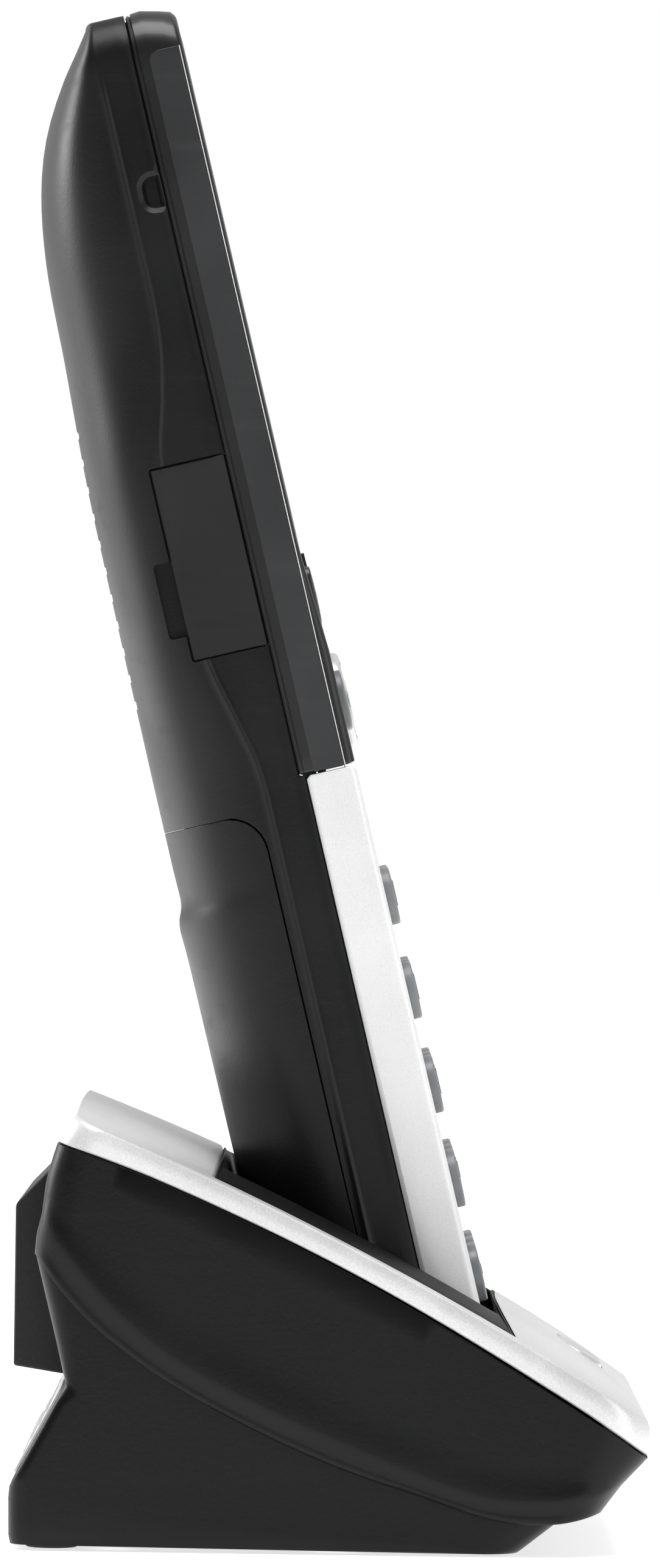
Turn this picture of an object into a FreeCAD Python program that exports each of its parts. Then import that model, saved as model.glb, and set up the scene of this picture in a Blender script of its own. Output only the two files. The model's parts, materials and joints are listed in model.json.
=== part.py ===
import FreeCAD, Part
import math
import os

# Cordless telephone: a handset that leans back in a charging base.
# Millimetres. Origin at the middle of the base's underside, +Z up, front towards -Y.
# Handset pieces are drawn upright (foot at z = 0, front towards -y, seam plane at y = 0) and then docked.

V = FreeCAD.Vector

# ---- Base, outside ----
base_width = 84.0
base_depth = 74.4
deck_rear_height = 50.1
deck_front_height = 16.4
deck_rise = 1.6                 # bow of the sloping deck above its chord
deck_rear_setback = 7.2         # from the rearmost point to the deck's rear edge
rim_height = 3.6
rim_rear_setback = 5.2
front_corner_radius = 6.0
rear_corner_radius = 4.0
hull_rear_setback = 2.6
lower_inset = 1.0               # the lower body stands back under the hull's rolled edge
foot_height = 0.7
connector_width = 56.0
notch_height = 19.4             # underside of the connector box at the notch
notch_depth = 6.6
chin_top = 11.7
chin_bottom = 6.2
chin_depth = 5.8

# ---- Base, walls and inner pieces ----
cover_wall = 1.8
hull_wall = 2.0
plate_thickness = 2.0
joint_gap = 0.15                # between fixed covers
board_thickness = 1.6
base_board_height = 5.4
chip_clearance = 2.4            # between the cradle well's lowest corner and the board's tallest part
foot_radius = 3.2
screw_shank = 1.2
screw_head = 2.4
screw_head_depth = 1.3
jack_width = 13.4
jack_height = 12.0
jack_depth = 12.5
line_port_width = 9.8
line_port_height = 7.0
power_bore = 2.8
power_pin = 0.9
power_jack_size = 9.0
page_width = 13.0
page_height = 6.0
page_depth = 2.8                # from the deck down to the button's underside
page_travel = 0.5

# ---- Docking ----
lean = 13.8                     # degrees from upright
dock_y = -14.4                  # handset foot's seam point in the base
dock_z = 16.0
seat_gap = 0.15
pocket_side_gap = 1.0
pocket_rear_gap = 0.5
pocket_front_gap = 1.6
pocket_wall = 0.9
pocket_floor = 2.0

# ---- Handset, outside ----
handset_length = 168.0
handset_width = 48.0
cell_radius = 5.2
cell_gap = 0.3
bay_floor = 4.2
cell_to_crown = 4.0             # from the cells' rear side to the outside of the battery cover
# crown of the battery cover behind the seam plane: the cells set the handset's depth
back_depth = bay_floor + cell_gap + 2 * cell_radius + cell_to_crown
front_depth = 5.85              # bezel's face before the seam plane
lens_face = 5.1
top_corner_radius = 5.5
foot_corner_radius = 7.0
upper_seam = 0.95               # rear case's front edge beside the black front case
lower_seam = 0.3                # and beside the bezel
seam_gap = 0.2
split_height = 76.4             # black front case above, silver bezel below
case_wall = 2.0
front_wall = 1.5
back_roundness = 2.5            # power of the superellipse across the back

# Back of the handset, from the top down: distance from the top, drop of the crown below
# back_depth, and depth of the crease between the flat side band and the curved back.
back_stations = (
    (0.2, 12.8, 4.6),
    (5.2, 8.85, 5.2),
    (10.3, 5.8, 5.2),
    (15.8, 3.8, 5.2),
    (24.2, 2.3, 5.2),
    (38.0, 1.65, 5.5),
    (52.0, 1.0, 8.6),
    (76.0, 0.75, 8.4),
    (89.0, 0.7, 5.5),
)
thumb_step_height = 63.0        # the battery cover steps out below this height
thumb_step = 0.7
thumb_step_run = 1.5
foot_drop = 0.3                 # the crown draws in this much towards the foot
low_crease = 5.2

# ---- Battery cover and bay ----
cover_thickness = 1.5
cover_edge = 6.5
cover_top = 73.3
cover_corner = 4.5
cover_foot_gap = 4.2
cover_travel = 3.8
cover_seat_room = 0.9           # lets the thumb step pass over the seat
cell_length = 44.5
bay_foot = 16.0
bay_room = 4.0
bay_wall = 1.2

# ---- Side band: belt-clip notches, headset flap ----
notch_top = 18.7
notch_length = 4.7
notch_width = 3.1
notch_cut = 1.3
flap_top = 52.8
flap_length = 22.9
flap_width = 9.0
flap_thickness = 1.3
flap_gap = 0.15
nail_length = 9.0
nail_width = 2.0
nail_cut = 1.2
jack_from_top = 63.0
headset_bore = 1.27
headset_bore_depth = 10.0
headset_nose = 2.6
headset_body = 6.0

# ---- Loudspeaker slots ----
slot_count = 11
slot_pitch = 3.3
slot_width = 1.1
slot_length = 16.0
slot_from_top = 46.0

# ---- Front ----
side_trim_thickness = 0.5
side_trim_rear = 0.2
side_trim_front = 4.6
side_trim_from_top = 4.8
lens_thickness = 1.2
lens_margin = 1.6
lens_from_top = 3.2
window_width = 36.0
window_height = 27.0
window_from_top = 28.0
grille_width = 12.0
grille_height = 2.2
grille_from_top = 12.0

# ---- Keys ----
key_gap = 0.25
key_travel = 0.6
key_proud = 1.05
key_flange = 0.6
key_flange_front = 4.15
key_flange_rear = 3.15
dial_width = 12.0
dial_height = 6.8
dial_pitch_x = 14.4
dial_pitch_z = 11.4
lowest_row = 14.6
soft_height = 96.8
soft_width = 11.0
soft_size = 7.0
soft_proud = 0.35
nav_height = 84.0
nav_width = 18.0
nav_size = 11.8
nav_proud = 0.95
nav_flange_front = 3.9
nav_tilt = 3.0
select_radius = 3.0
side_key_width = 8.2
side_key_size = 7.2
side_key_x = 15.6
mat_front = 2.3
mat_thickness = 1.0

# ---- Handset, inner pieces ----
board_front = 1.1
board_back = 0.5
contact_x = 13.0
contact_y = 5.0
contact_pad = 6.0
contact_pad_depth = 4.0
contact_pin = 2.4
contact_travel = 0.8
contact_gap = 0.3

# ---- Derived ----
half_base = base_width / 2
rear_y = base_depth / 2
front_y = -rear_y
half_handset = handset_width / 2
lens_foot = soft_height + soft_size / 2 + 2.2
row_names = (("flash_key", "mute_key", "speaker_key"), ("dial_star", "dial_0", "dial_hash"),
             ("dial_7", "dial_8", "dial_9"), ("dial_4", "dial_5", "dial_6"), ("dial_1", "dial_2", "dial_3"))


# ======================= drawing helpers =======================

def outline(start, steps, place):
    """Closed wire from start: a pair is the end of a line, a pair of pairs an arc through the first."""
    edges = []
    here = start
    for step in list(steps) + [start]:
        if isinstance(step[0], tuple):
            edges.append(Part.Arc(place(*here), place(*step[0]), place(*step[1])).toShape())
            here = step[1]
        elif math.dist(here, step) > 1e-7:
            edges.append(Part.makeLine(place(*here), place(*step)))
            here = step
    return Part.Wire(edges)


def side_prism(start, steps, half_width, centre=0.0):
    """Solid with the given (y, z) outline, carried across x."""
    wire = outline(start, steps, lambda y, z: V(centre - half_width, y, z))
    return Part.Face(wire).extrude(V(2 * half_width, 0, 0))


def rounded_outline(a0, a1, b0, b1, radii):
    """Start and steps of a rectangle with corner radii at (a0,b0), (a1,b0), (a1,b1), (a0,b1)."""
    shift = 1 - math.sqrt(0.5)
    corners = ((a0, b0, 0, 1, 1, 0), (a1, b0, -1, 0, 0, 1), (a1, b1, 0, -1, -1, 0), (a0, b1, 1, 0, 0, -1))
    steps = []
    for (a, b, in_a, in_b, out_a, out_b), r in zip(corners, radii):
        if r > 0:
            middle = (a + (in_a + out_a) * r * shift, b + (in_b + out_b) * r * shift)
            steps.append((a + in_a * r, b + in_b * r))
            steps.append((middle, (a + out_a * r, b + out_b * r)))
        else:
            steps.append((a, b))
    first = steps[0]
    return first, steps[1:]


def plate(width, height, radius, x, z, y0, y1):
    """Rounded plate facing the front: width by height about (x, z), between depths y0 and y1."""
    start, steps = rounded_outline(x - width / 2, x + width / 2, z - height / 2, z + height / 2, [radius] * 4)
    wire = outline(start, steps, lambda a, b: V(a, y0, b))
    return Part.Face(wire).extrude(V(0, y1 - y0, 0))


def box(x0, x1, y0, y1, z0, z1):
    return Part.makeBox(x1 - x0, y1 - y0, z1 - z0, V(x0, y0, z0))


def pillar(radius, x, y, z0, z1):
    return Part.makeCylinder(radius, z1 - z0, V(x, y, z0), V(0, 0, 1))


def disc(radius, x, z, y0, y1):
    """Round plate facing the front, between depths y0 and y1."""
    return Part.makeCylinder(radius, y1 - y0, V(x, y0, z), V(0, 1, 0))


def mirrored(shape):
    return shape.mirror(V(0, 0, 0), V(1, 0, 0))


def pair(shape):
    """A shape and its mirror image as two separate solids."""
    return Part.makeCompound([shape, mirrored(shape)])


def dock(shape):
    """Lean an upright handset-frame shape back and put its foot in the base."""
    docked = shape.copy()
    docked.rotate(V(0, 0, 0), V(1, 0, 0), -lean)
    docked.translate(V(0, dock_y, dock_z))
    return docked


def down(distance):
    """Height of a point that lies this far below the handset's top."""
    return handset_length - distance


# ======================= base =======================

def deck_steps(drop):
    """Rear end, bowed middle and front end of the sloping deck, lowered by drop."""
    rear = (rear_y - deck_rear_setback, deck_rear_height - drop)
    front = (front_y + 1.0, deck_front_height - drop)
    run = math.dist(rear, front)
    up = ((rear[1] - front[1]) * -1 / run, (rear[0] - front[0]) / run)
    middle = ((rear[0] + front[0]) / 2 + up[0] * deck_rise, (rear[1] + front[1]) / 2 + up[1] * deck_rise)
    return rear, middle, front


def plan_prism(inset, z0, z1, rear_inset=None):
    """The base's plan, drawn in by inset, between two heights; the rear may be drawn in by its own amount."""
    rear = rear_y - (inset if rear_inset is None else rear_inset)
    radii = [max(front_corner_radius - inset, 0.5)] * 2 + [max(rear_corner_radius - inset, 0.5)] * 2
    start, steps = rounded_outline(-half_base + inset, half_base - inset, front_y + inset, rear, radii)
    wire = outline(start, steps, lambda x, y: V(x, y, z0))
    return Part.Face(wire).extrude(V(0, 0, z1 - z0))


def under_deck(drop):
    """Everything below the deck lowered by drop."""
    rear, middle, front = deck_steps(drop)
    low = -5.0
    steps = [(rear[0], rear[1]), (middle, front), (front_y - 1.0, front[1] - 2.0), (front_y - 1.0, low)]
    return side_prism((rear_y + 1.0, low), [(rear_y + 1.0, rear[1] - 2.0)] + steps, half_base + 1.0)


def rim_foot():
    """Rear end, middle and front end of the line under the silver rim."""
    rear, middle, front = deck_steps(rim_height)
    rear = (rear_y - rim_rear_setback, deck_rear_height - 2.6)
    return rear, middle, (front_y + 0.3, chin_top)


def lower_crease():
    """Rear, middle and front of the rolled edge between the hull and the lower body."""
    rear = (rear_y - hull_rear_setback - 0.1, deck_rear_height - 16.0)
    front = (front_y + 14.5, 4.0)
    middle = ((rear[0] + front[0]) / 2 + 3.4, (rear[1] + front[1]) / 2 - 4.9)
    return rear, middle, front


def handset_prism(side, rear, front, z0, z1):
    """A block in the handset's leaning frame, from the foot's level z0 to z1."""
    return dock(box(-side, side, -front, rear, z0, z1))


pocket_side = half_handset + pocket_side_gap
pocket_rear = back_depth + pocket_rear_gap
pocket_front = front_depth + pocket_front_gap
insert_side = half_base - cover_wall - joint_gap - 0.2
pocket_top = deck_rear_height


def base_top_cover():
    rear, middle, front = deck_steps(0)
    foot_rear, foot_middle, foot_front = rim_foot()
    nose = (front_y, deck_front_height - 1.8)
    steps = [rear, (middle, front), nose, (front_y, chin_top + 0.3), foot_front, (foot_middle, foot_rear)]
    body = side_prism(steps[0], steps[1:], half_base).common(plan_prism(0, 0, deck_rear_height + 5))
    body = body.cut(under_deck(cover_wall).common(plan_prism(cover_wall, -1, deck_rear_height + 5)))
    grow = joint_gap
    opening = handset_prism(insert_side + grow, pocket_rear + pocket_wall + grow,
                            pocket_front + pocket_wall + grow, -5, pocket_top)
    return body.cut(opening).cut(page_shape(key_gap, 3.0))


def cradle_insert():
    rear = pocket_rear + pocket_wall
    front = pocket_front + pocket_wall
    flange = handset_prism(insert_side, rear, front, -pocket_floor, pocket_top)
    flange = flange.common(under_deck(0)).cut(under_deck(cover_wall))
    flange = flange.common(plan_prism(cover_wall + joint_gap, 0, deck_rear_height + 5))
    well = handset_prism(pocket_side + pocket_wall, rear, front, -seat_gap - pocket_floor, pocket_top)
    well = well.common(under_deck(0))
    hollow = handset_prism(pocket_side, pocket_rear, pocket_front, -seat_gap, pocket_top + 20)
    body = flange.fuse(well).cut(hollow)
    for side in (-1, 1):
        slot = contact_pin + 2 * contact_gap
        body = body.cut(dock(Part.makeBox(slot, slot, 8, V(side * contact_x - slot / 2, contact_y - slot / 2, -6))))
    return body.removeSplitter()


def hull_region(gap):
    rear, middle, front = rim_foot()
    low_rear, low_middle, low_front = lower_crease()
    steps = [((middle[0], middle[1] - gap), (front[0] + gap, front[1] - gap)),
             (front_y + chin_depth, chin_bottom),
             ((front_y + chin_depth + 4.4, 4.6), low_front), (low_middle, low_rear),
             (rear_y - hull_rear_setback, deck_rear_height - 14.3), (rear_y - 3.8, deck_rear_height - 7.5)]
    return side_prism((rear[0], rear[1] - gap), steps, half_base)


def connector_outline(grow):
    """Side outline of the connector box: sloped top, upright back, underside over the notch."""
    front = rear_y - notch_depth - 1.0
    back = rear_y - 0.1 + grow
    return ((front - grow, deck_rear_height - 5.5 + grow),
            [(rear_y - 5.0, deck_rear_height - 5.5 + grow), (back, deck_rear_height - 10.6 + grow * 0.5),
             (back, notch_height + 1.2 - grow), (rear_y - notch_depth, notch_height + 0.2 - grow),
             (front - grow, notch_height + 0.2 - grow)])


def connector_prism(grow):
    start, steps = connector_outline(grow)
    return side_prism(start, steps, connector_width / 2 + grow)


def chin_floor():
    """Wall that closes the hull under the chin."""
    edge = front_y + 16.4
    return side_prism((front_y - 2, -3), [(front_y - 2, chin_top + 3.8), (front_y + 1.7, chin_top + 1.3),
                                         (front_y + chin_depth + 1.0, chin_bottom + 2.0),
                                         (front_y + 10.6, 6.6), (edge, 6.0), (edge, -3)], half_base)


def base_hull():
    body = hull_region(joint_gap).common(plan_prism(0, -1, deck_rear_height))
    hollow = plan_prism(hull_wall, -2, deck_rear_height + 1).common(hollow_rear()).cut(chin_floor())
    body = body.cut(hollow).cut(connector_prism(joint_gap)).cut(jack_way())
    seat = -page_depth - page_travel - 3.6
    posts = page_part(box(-8.5, -6.0, -1.5, 1.5, -30, seat)).fuse(page_part(box(6.0, 8.5, -1.5, 1.5, -30, seat)))
    return body.fuse(posts.common(hull_region(joint_gap))).removeSplitter()


def jack_way():
    """Room for the jacks through the rear walls, inside the connector box."""
    half = connector_width / 2 - 1.5
    return box(-half, half, rear_y - 14.0, rear_y - notch_depth, notch_height + 2.0, deck_rear_height - 8.0)


def hollow_rear():
    """Keeps the base's hollow clear of the hull's leaning rear wall."""
    back = rear_y - hull_rear_setback - hull_wall
    return side_prism((front_y, -3), [(back - 2.6, -3), (back - 0.4, deck_rear_height - 15.0),
                                     (back - 2.6, deck_rear_height + 2), (front_y, deck_rear_height + 2)],
                      half_base)


def lower_region():
    low_rear, low_middle, low_front = lower_crease()
    gap = joint_gap
    notch = (rear_y - notch_depth, notch_height)
    steps = [((low_middle[0], low_middle[1] - gap), (low_front[0], low_front[1] - gap)),
             (front_y + 10.4, 3.9), (front_y + 14.9, 0.5), (front_y + 16.0, 0.3),
             (rear_y - 0.3, foot_height), (rear_y, foot_height + 6.1), (rear_y - 0.5, foot_height + 7.3), notch]
    return side_prism((low_rear[0], low_rear[1] - gap), steps, half_base)


def lower_hollow():
    """Inside of the lower body: clear of the sloping back and of the chin."""
    wall = hull_wall
    notch = (rear_y - notch_depth - wall - 0.6, notch_height)
    start = (front_y + 14.0 + wall, -3)
    steps = [(rear_y - wall - 0.4, -3), (rear_y - wall - 0.4, foot_height + 6.0), notch,
             (rear_y - notch_depth - wall, deck_rear_height), (front_y + 14.0 + wall, deck_rear_height)]
    return side_prism(start, steps, half_base)


def screw_places():
    inset = lower_inset + hull_wall + screw_head + 0.4
    return [(side * (half_base - inset), y) for side in (-1, 1) for y in (rear_y - 12.0, rear_y - 38.0)]


def base_lower_body():
    body = lower_region().common(plan_prism(lower_inset, -1, deck_rear_height, 0))
    inside = plan_prism(lower_inset + hull_wall, -2, deck_rear_height).common(lower_hollow())
    body = body.cut(inside)
    for x, y in screw_places():
        post = pillar(3.4, x, y, plate_top() + joint_gap, plate_top() + 5.0)
        body = body.fuse(post.common(lower_region()))
    for x, y in screw_places():
        body = body.cut(pillar(screw_shank + 0.1, x, y, 0, plate_top() + 4.0))
    body = body.cut(connector_prism(joint_gap)).cut(jack_way()).cut(label_shape(joint_gap, 0.5))
    for cutter in foot_recesses():
        body = body.cut(cutter)
    return body.removeSplitter()


def plate_top():
    return foot_height + 0.2 + plate_thickness


def plate_prism(gap):
    inset = lower_inset + hull_wall + gap
    body = plan_prism(inset, foot_height + 0.2, plate_top())
    return body.common(lower_hollow())


def base_bottom_plate():
    body = plate_prism(joint_gap)
    body = body.common(box(-half_base, half_base, front_y + 14.2 + hull_wall, rear_y - hull_wall - 0.6, 0, 10))
    for x, y in screw_places():
        body = body.cut(pillar(screw_shank + 0.2, x, y, 0, 10))
        body = body.cut(pillar(screw_head + 0.2, x, y, 0, foot_height + 0.2 + screw_head_depth))
    for cutter in foot_recesses():
        body = body.cut(cutter)
    return body


def base_screws():
    screws = []
    for x, y in screw_places():
        seat = foot_height + 0.2 + screw_head_depth
        head = pillar(screw_head, x, y, foot_height + 0.3, seat)
        screws.append(head.fuse(pillar(screw_shank, x, y, seat - 0.3, plate_top() + 3.6)).removeSplitter())
    return Part.makeCompound(screws)


def foot_places():
    return [(side * (half_base - 9.0), y) for side in (-1, 1) for y in (rear_y - 5.0, front_y + 21.0)]


def foot_recesses():
    return [pillar(foot_radius + 0.1, x, y, -1, foot_height + 0.8) for x, y in foot_places()]


def rubber_feet():
    feet = []
    for x, y in foot_places():
        foot = pillar(foot_radius, x, y, 0, foot_height + 0.7)
        feet.append(foot.makeChamfer(0.3, [e for e in foot.Edges if e.CenterOfMass.z < 0.01]))
    return Part.makeCompound(feet)


def connector_box():
    start, steps = connector_outline(0)
    body = side_prism(start, steps, connector_width / 2)
    wall = 1.5
    front = start[0] - 1.0
    back = rear_y - 0.1 - wall
    hollow = side_prism((front, deck_rear_height - 7.4),
                        [(rear_y - 6.0, deck_rear_height - 7.4), (back, deck_rear_height - 11.8),
                         (back, notch_height + 2.4), (front, notch_height + 2.0)], connector_width / 2 - wall)
    body = body.cut(hollow)
    port = box(line_jack_x() - line_port_width / 2, line_jack_x() + line_port_width / 2, back - 1, rear_y + 1,
               jack_centre_z() - line_port_height / 2, jack_centre_z() + line_port_height / 2)
    hole = Part.makeCylinder(power_bore + 0.6, wall + 2, V(power_jack_x(), back - 1, jack_centre_z()), V(0, 1, 0))
    return body.cut(port).cut(hole)


def line_jack_x():
    return connector_width / 2 - 14.0


def power_jack_x():
    return -connector_width / 2 + 12.0


def jack_centre_z():
    return notch_height + 2.8 + jack_height / 2


def jack_face_y():
    return rear_y - 0.1 - 1.5 - joint_gap


def line_jack():
    x, z, y = line_jack_x(), jack_centre_z(), jack_face_y()
    body = box(x - jack_width / 2, x + jack_width / 2, y - jack_depth, y, z - jack_height / 2, z + jack_height / 2)
    half_w = line_port_width / 2
    half_h = line_port_height / 2
    body = body.cut(box(x - half_w, x + half_w, y - jack_depth + 2, y + 1, z - half_h, z + half_h))
    return body.cut(box(x - 3.0, x + 3.0, y - jack_depth + 5, y + 1, z - half_h - 1.4, z))


def power_jack():
    x, z, y = power_jack_x(), jack_centre_z(), jack_face_y()
    half = power_jack_size / 2
    body = box(x - half, x + half, y - jack_depth, y, z - half, z + half)
    body = body.fuse(Part.makeCylinder(power_bore + 0.5, 1.2, V(x, y, z), V(0, 1, 0)))
    body = body.cut(Part.makeCylinder(power_bore, 10.0, V(x, y - 8.5, z), V(0, 1, 0)))
    return body.fuse(Part.makeCylinder(power_pin, 9.0, V(x, y - 9.0, z), V(0, 1, 0))).removeSplitter()


def label_shape(gap, sink):
    """Rating-label land on the sloping back: sunk by sink, or standing 0.35 mm proud where sink is 0."""
    foot = (rear_y - 0.6, foot_height + 7.5)
    head = (rear_y - notch_depth + 0.1, notch_height - 0.2)
    run = math.dist(foot, head)
    along = ((head[0] - foot[0]) / run, (head[1] - foot[1]) / run)
    out = (along[1], -along[0])
    low, high = 1.2 - gap, run - 1.2 + gap
    inner, outer = -0.5 - (gap if sink else 0), 2.0 if sink else 0.35

    def at(distance, rise):
        return (foot[0] + along[0] * distance + out[0] * rise, foot[1] + along[1] * distance + out[1] * rise)

    return side_prism(at(low, inner), [at(high, inner), at(high, outer), at(low, outer)],
                      half_base - lower_inset - 4.0 + gap)


def rating_label():
    return label_shape(0, 0)


def well_low_corner():
    """Depth of the cradle well's lowest corner in the base."""
    angle = math.radians(lean)
    return ((pocket_rear + pocket_wall) * math.cos(angle)
            - (seat_gap + pocket_floor) * math.sin(angle) + dock_y)


def base_circuit_board():
    side = half_base - 12.0
    z = base_board_height
    board = box(-side, side, front_y + 34.0, rear_y - 16.0, z, z + board_thickness)
    chip_front = well_low_corner() + chip_clearance
    chip = box(4, 16, chip_front, chip_front + 11.0, z + board_thickness, z + board_thickness + 1.4)
    return board.fuse(chip).removeSplitter()


def base_antenna():
    x, y = -half_base + 20.0, rear_y - 19.0
    z = base_board_height + board_thickness
    strip = box(x, x + 0.6, y - 4, y, z, z + 12)
    return strip.fuse(box(x, x + 12, y - 4, y, z + 12, z + 12.6)).removeSplitter()


def charge_contact(side):
    half = contact_pin / 2
    x = side * contact_x
    pin = Part.makeBox(contact_pin, contact_pin, 5.0, V(x - half, contact_y - half, -contact_gap - 5.0))
    pin = pin.makeFillet(0.8, [e for e in pin.Edges if e.CenterOfMass.z > -contact_gap - 0.01])
    flange = Part.makeBox(contact_pin + 2, contact_pin + 2, 0.8, V(x - half - 1, contact_y - half - 1, -5.0))
    return dock(pin.fuse(flange).removeSplitter())


def page_frame():
    """Middle of the page button on the deck and the deck's slope there, in degrees."""
    rear, middle, front = deck_steps(0)
    y = front_y + 8.0
    slope = math.degrees(math.atan2(middle[1] - front[1], middle[0] - front[0])) + 1.2
    z = front[1] + (y - front[0]) * math.tan(math.radians(slope))
    return y, z, slope


def page_shape(gap, above):
    """Oval column square to the deck; above is how far it rises over the deck."""
    width, height = page_width + 2 * gap, page_height + 2 * gap
    start, steps = rounded_outline(-width / 2, width / 2, -height / 2, height / 2, [height / 2 - 0.01] * 4)
    wire = outline(start, steps, lambda a, b: V(a, b, -page_depth))
    return page_part(Part.Face(wire).extrude(V(0, 0, page_depth + above)))


def page_part(shape):
    """Turn a shape drawn square to the deck, and put it under the page button."""
    y, z, slope = page_frame()
    turned = shape.copy()
    turned.rotate(V(0, 0, 0), V(1, 0, 0), slope)
    turned.translate(V(0, y, z))
    return turned


def page_button():
    flange = page_part(box(-page_width / 2 - 1.2, page_width / 2 + 1.2, -page_height / 2 - 0.8,
                           page_height / 2 + 0.8, -page_depth, -page_depth + 0.8))
    return page_shape(0, -0.35).fuse(flange).removeSplitter()


def page_switch():
    top = -page_depth - page_travel - 0.1
    body = box(-3, 3, -3, 2, top - 2.4, top - 0.6).fuse(pillar(1.5, 0, 0, top - 1.0, top))
    return page_part(body.fuse(box(-9, 9, -3, 2.2, top - 3.4, top - 2.4))).removeSplitter()


# ======================= handset shells =======================

def all_stations():
    """Every station of the back: height, crown depth and crease depth."""
    rows = [(down(s), back_depth - drop, crease) for s, drop, crease in back_stations]
    rows.append((thumb_step_height + thumb_step_run, back_depth - thumb_step, low_crease))
    rows.append((thumb_step_height, back_depth, low_crease))
    rows.append((0.0, back_depth - foot_drop, low_crease))
    return rows


def back_section(z, half, crown, crease):
    """Closed section: seam line, flat side bands, and a superellipse over the back."""
    power = 2 / back_roundness
    steps = 12
    points = []
    for i in range(steps + 1):
        angle = math.pi * i / steps
        across = math.copysign(abs(math.cos(angle)) ** power, math.cos(angle))
        points.append(V(half * across, crease + (crown - crease) * math.sin(angle) ** power, z))
    points[0] = V(half, crease, z)
    points[-1] = V(-half, crease, z)
    curve = Part.BSplineCurve()
    curve.interpolate(points)
    seam = lower_seam
    edges = [Part.makeLine(V(half, seam, z), points[0]), curve.toShape(),
             Part.makeLine(points[-1], V(-half, seam, z)), Part.makeLine(V(-half, seam, z), V(half, seam, z))]
    return Part.Wire(edges)


def back_loft(inset, skip=0):
    """The rear case's volume, drawn in by inset, leaving out the topmost stations."""
    wires = [back_section(z, half_handset - inset, crown - inset, crease)
             for z, crown, crease in all_stations()[skip:]]
    return Part.makeLoft(wires, True, True)


def face_outline(inset, y0, y1):
    """Handset seen from the front, drawn in by inset, between depths y0 and y1."""
    radii = [foot_corner_radius - inset] * 2 + [top_corner_radius - inset] * 2
    start, steps = rounded_outline(-half_handset + inset, half_handset - inset, inset,
                                   handset_length + 0.6 - inset, radii)
    wire = outline(start, steps, lambda x, z: V(x, y0, z))
    return Part.Face(wire).extrude(V(0, y1 - y0, 0))


def cover_region(gap, foot):
    """Side view of the battery cover: everything behind its edge and below its top."""
    back = back_depth + 5
    edge = cover_edge - gap
    top = cover_top + gap
    radius = cover_corner + gap
    shift = radius * (1 - math.sqrt(0.5))
    steps = [(back, top), (edge + radius, top), ((edge + shift, top - shift), (edge, top - radius)),
             (edge, foot)]
    return side_prism((back, foot), steps, half_handset + 2)


def bay_half_width():
    return 3 * cell_radius + cell_gap + 0.3


def bay_block(grow, back):
    half = bay_half_width() + grow
    return box(-half, half, bay_floor - grow, back, bay_foot - grow, bay_foot + cell_length + bay_room + grow)


def side_cut(y0, y1, s0, s1, depth, radius=0.0):
    """Pocket in the left side: y0..y1 deep-wise, s0..s1 below the top, cut in by depth."""
    start, steps = rounded_outline(y0, y1, down(s1), down(s0), [0, radius, radius, 0])
    return side_prism(start, steps, depth / 2 + 0.5, -half_handset + depth / 2 - 0.5)


def speaker_slots():
    slots = []
    for i in range(slot_count):
        z = down(slot_from_top + i * slot_pitch)
        slots.append(plate(slot_length, slot_width, slot_width * 0.45, 0, z, 11.0, back_depth + 2))
    return slots


def headset_place():
    """Middle of the headset jack: depth and height."""
    return upper_seam + 4.4, down(jack_from_top)


def rear_case():
    outer = back_loft(0).common(face_outline(0, -1, back_depth + 2))
    seat = cover_thickness + cover_seat_room
    recess = cover_region(seam_gap, -2).cut(back_loft(seat))
    low = box(-40, 40, -5, 40, case_wall, cover_top + 2)
    high = box(-40, 40, -5, 40, cover_top + 1, handset_length)
    beside = box(-40, 40, -5, cover_edge - front_wall, case_wall, cover_top + 2)
    hollow = back_loft(seat + front_wall, 1).common(low)
    hollow = hollow.fuse(back_loft(case_wall, 1).common(high.fuse(beside)))
    hollow = hollow.common(face_outline(case_wall, -2, back_depth + 2))
    body = outer.cut(hollow)
    body = body.cut(box(-30, 30, -1, upper_seam, split_height, handset_length + 2))
    walls = bay_block(bay_wall, back_depth).common(back_loft(seat))
    boss_y, boss_z = headset_place()
    pad = box(-half_handset + 1.0, -half_handset + case_wall + 1.2, upper_seam, upper_seam + flap_width + 1.4,
              down(flap_top + flap_length + 1.5), down(flap_top - 1.5))
    body = body.fuse(walls).fuse(pad)
    for x, z in rear_screw_places():
        body = body.fuse(disc(3.0, x, z, board_back + 0.3, 13.0))
    body = body.cut(recess).cut(bay_block(0, back_depth + 5))
    body = body.cut(side_cut(upper_seam - 1, upper_seam + flap_width + flap_gap, flap_top - flap_gap,
                             flap_top + flap_length + flap_gap, flap_thickness + flap_gap))
    nail_foot = flap_top + flap_length - 3.0
    body = body.cut(side_cut(upper_seam + flap_width - 1, upper_seam + flap_width + nail_width,
                             nail_foot - nail_length, nail_foot, nail_cut, 0.4))
    clip = side_cut(upper_seam + 0.1, upper_seam + notch_width, notch_top, notch_top + notch_length, notch_cut, 1.3)
    body = body.cut(clip).cut(mirrored(clip))
    body = body.cut(Part.makeCylinder(headset_nose + 0.1, 6, V(-half_handset - 1, boss_y, boss_z), V(1, 0, 0)))
    for slot in speaker_slots():
        body = body.cut(slot)
    for x, z in rear_screw_places():
        body = body.cut(disc(screw_shank, x, z, -1, 20)).cut(disc(screw_head + 0.2, x, z, 11.0, 25))
    for side in (-1, 1):
        body = body.cut(contact_pad_box(side, 0.1, -1, case_wall + 1))
    return body


def rear_screw_places():
    z = cover_top - 4.0
    return [(-10.0, z), (10.0, z)]


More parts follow.
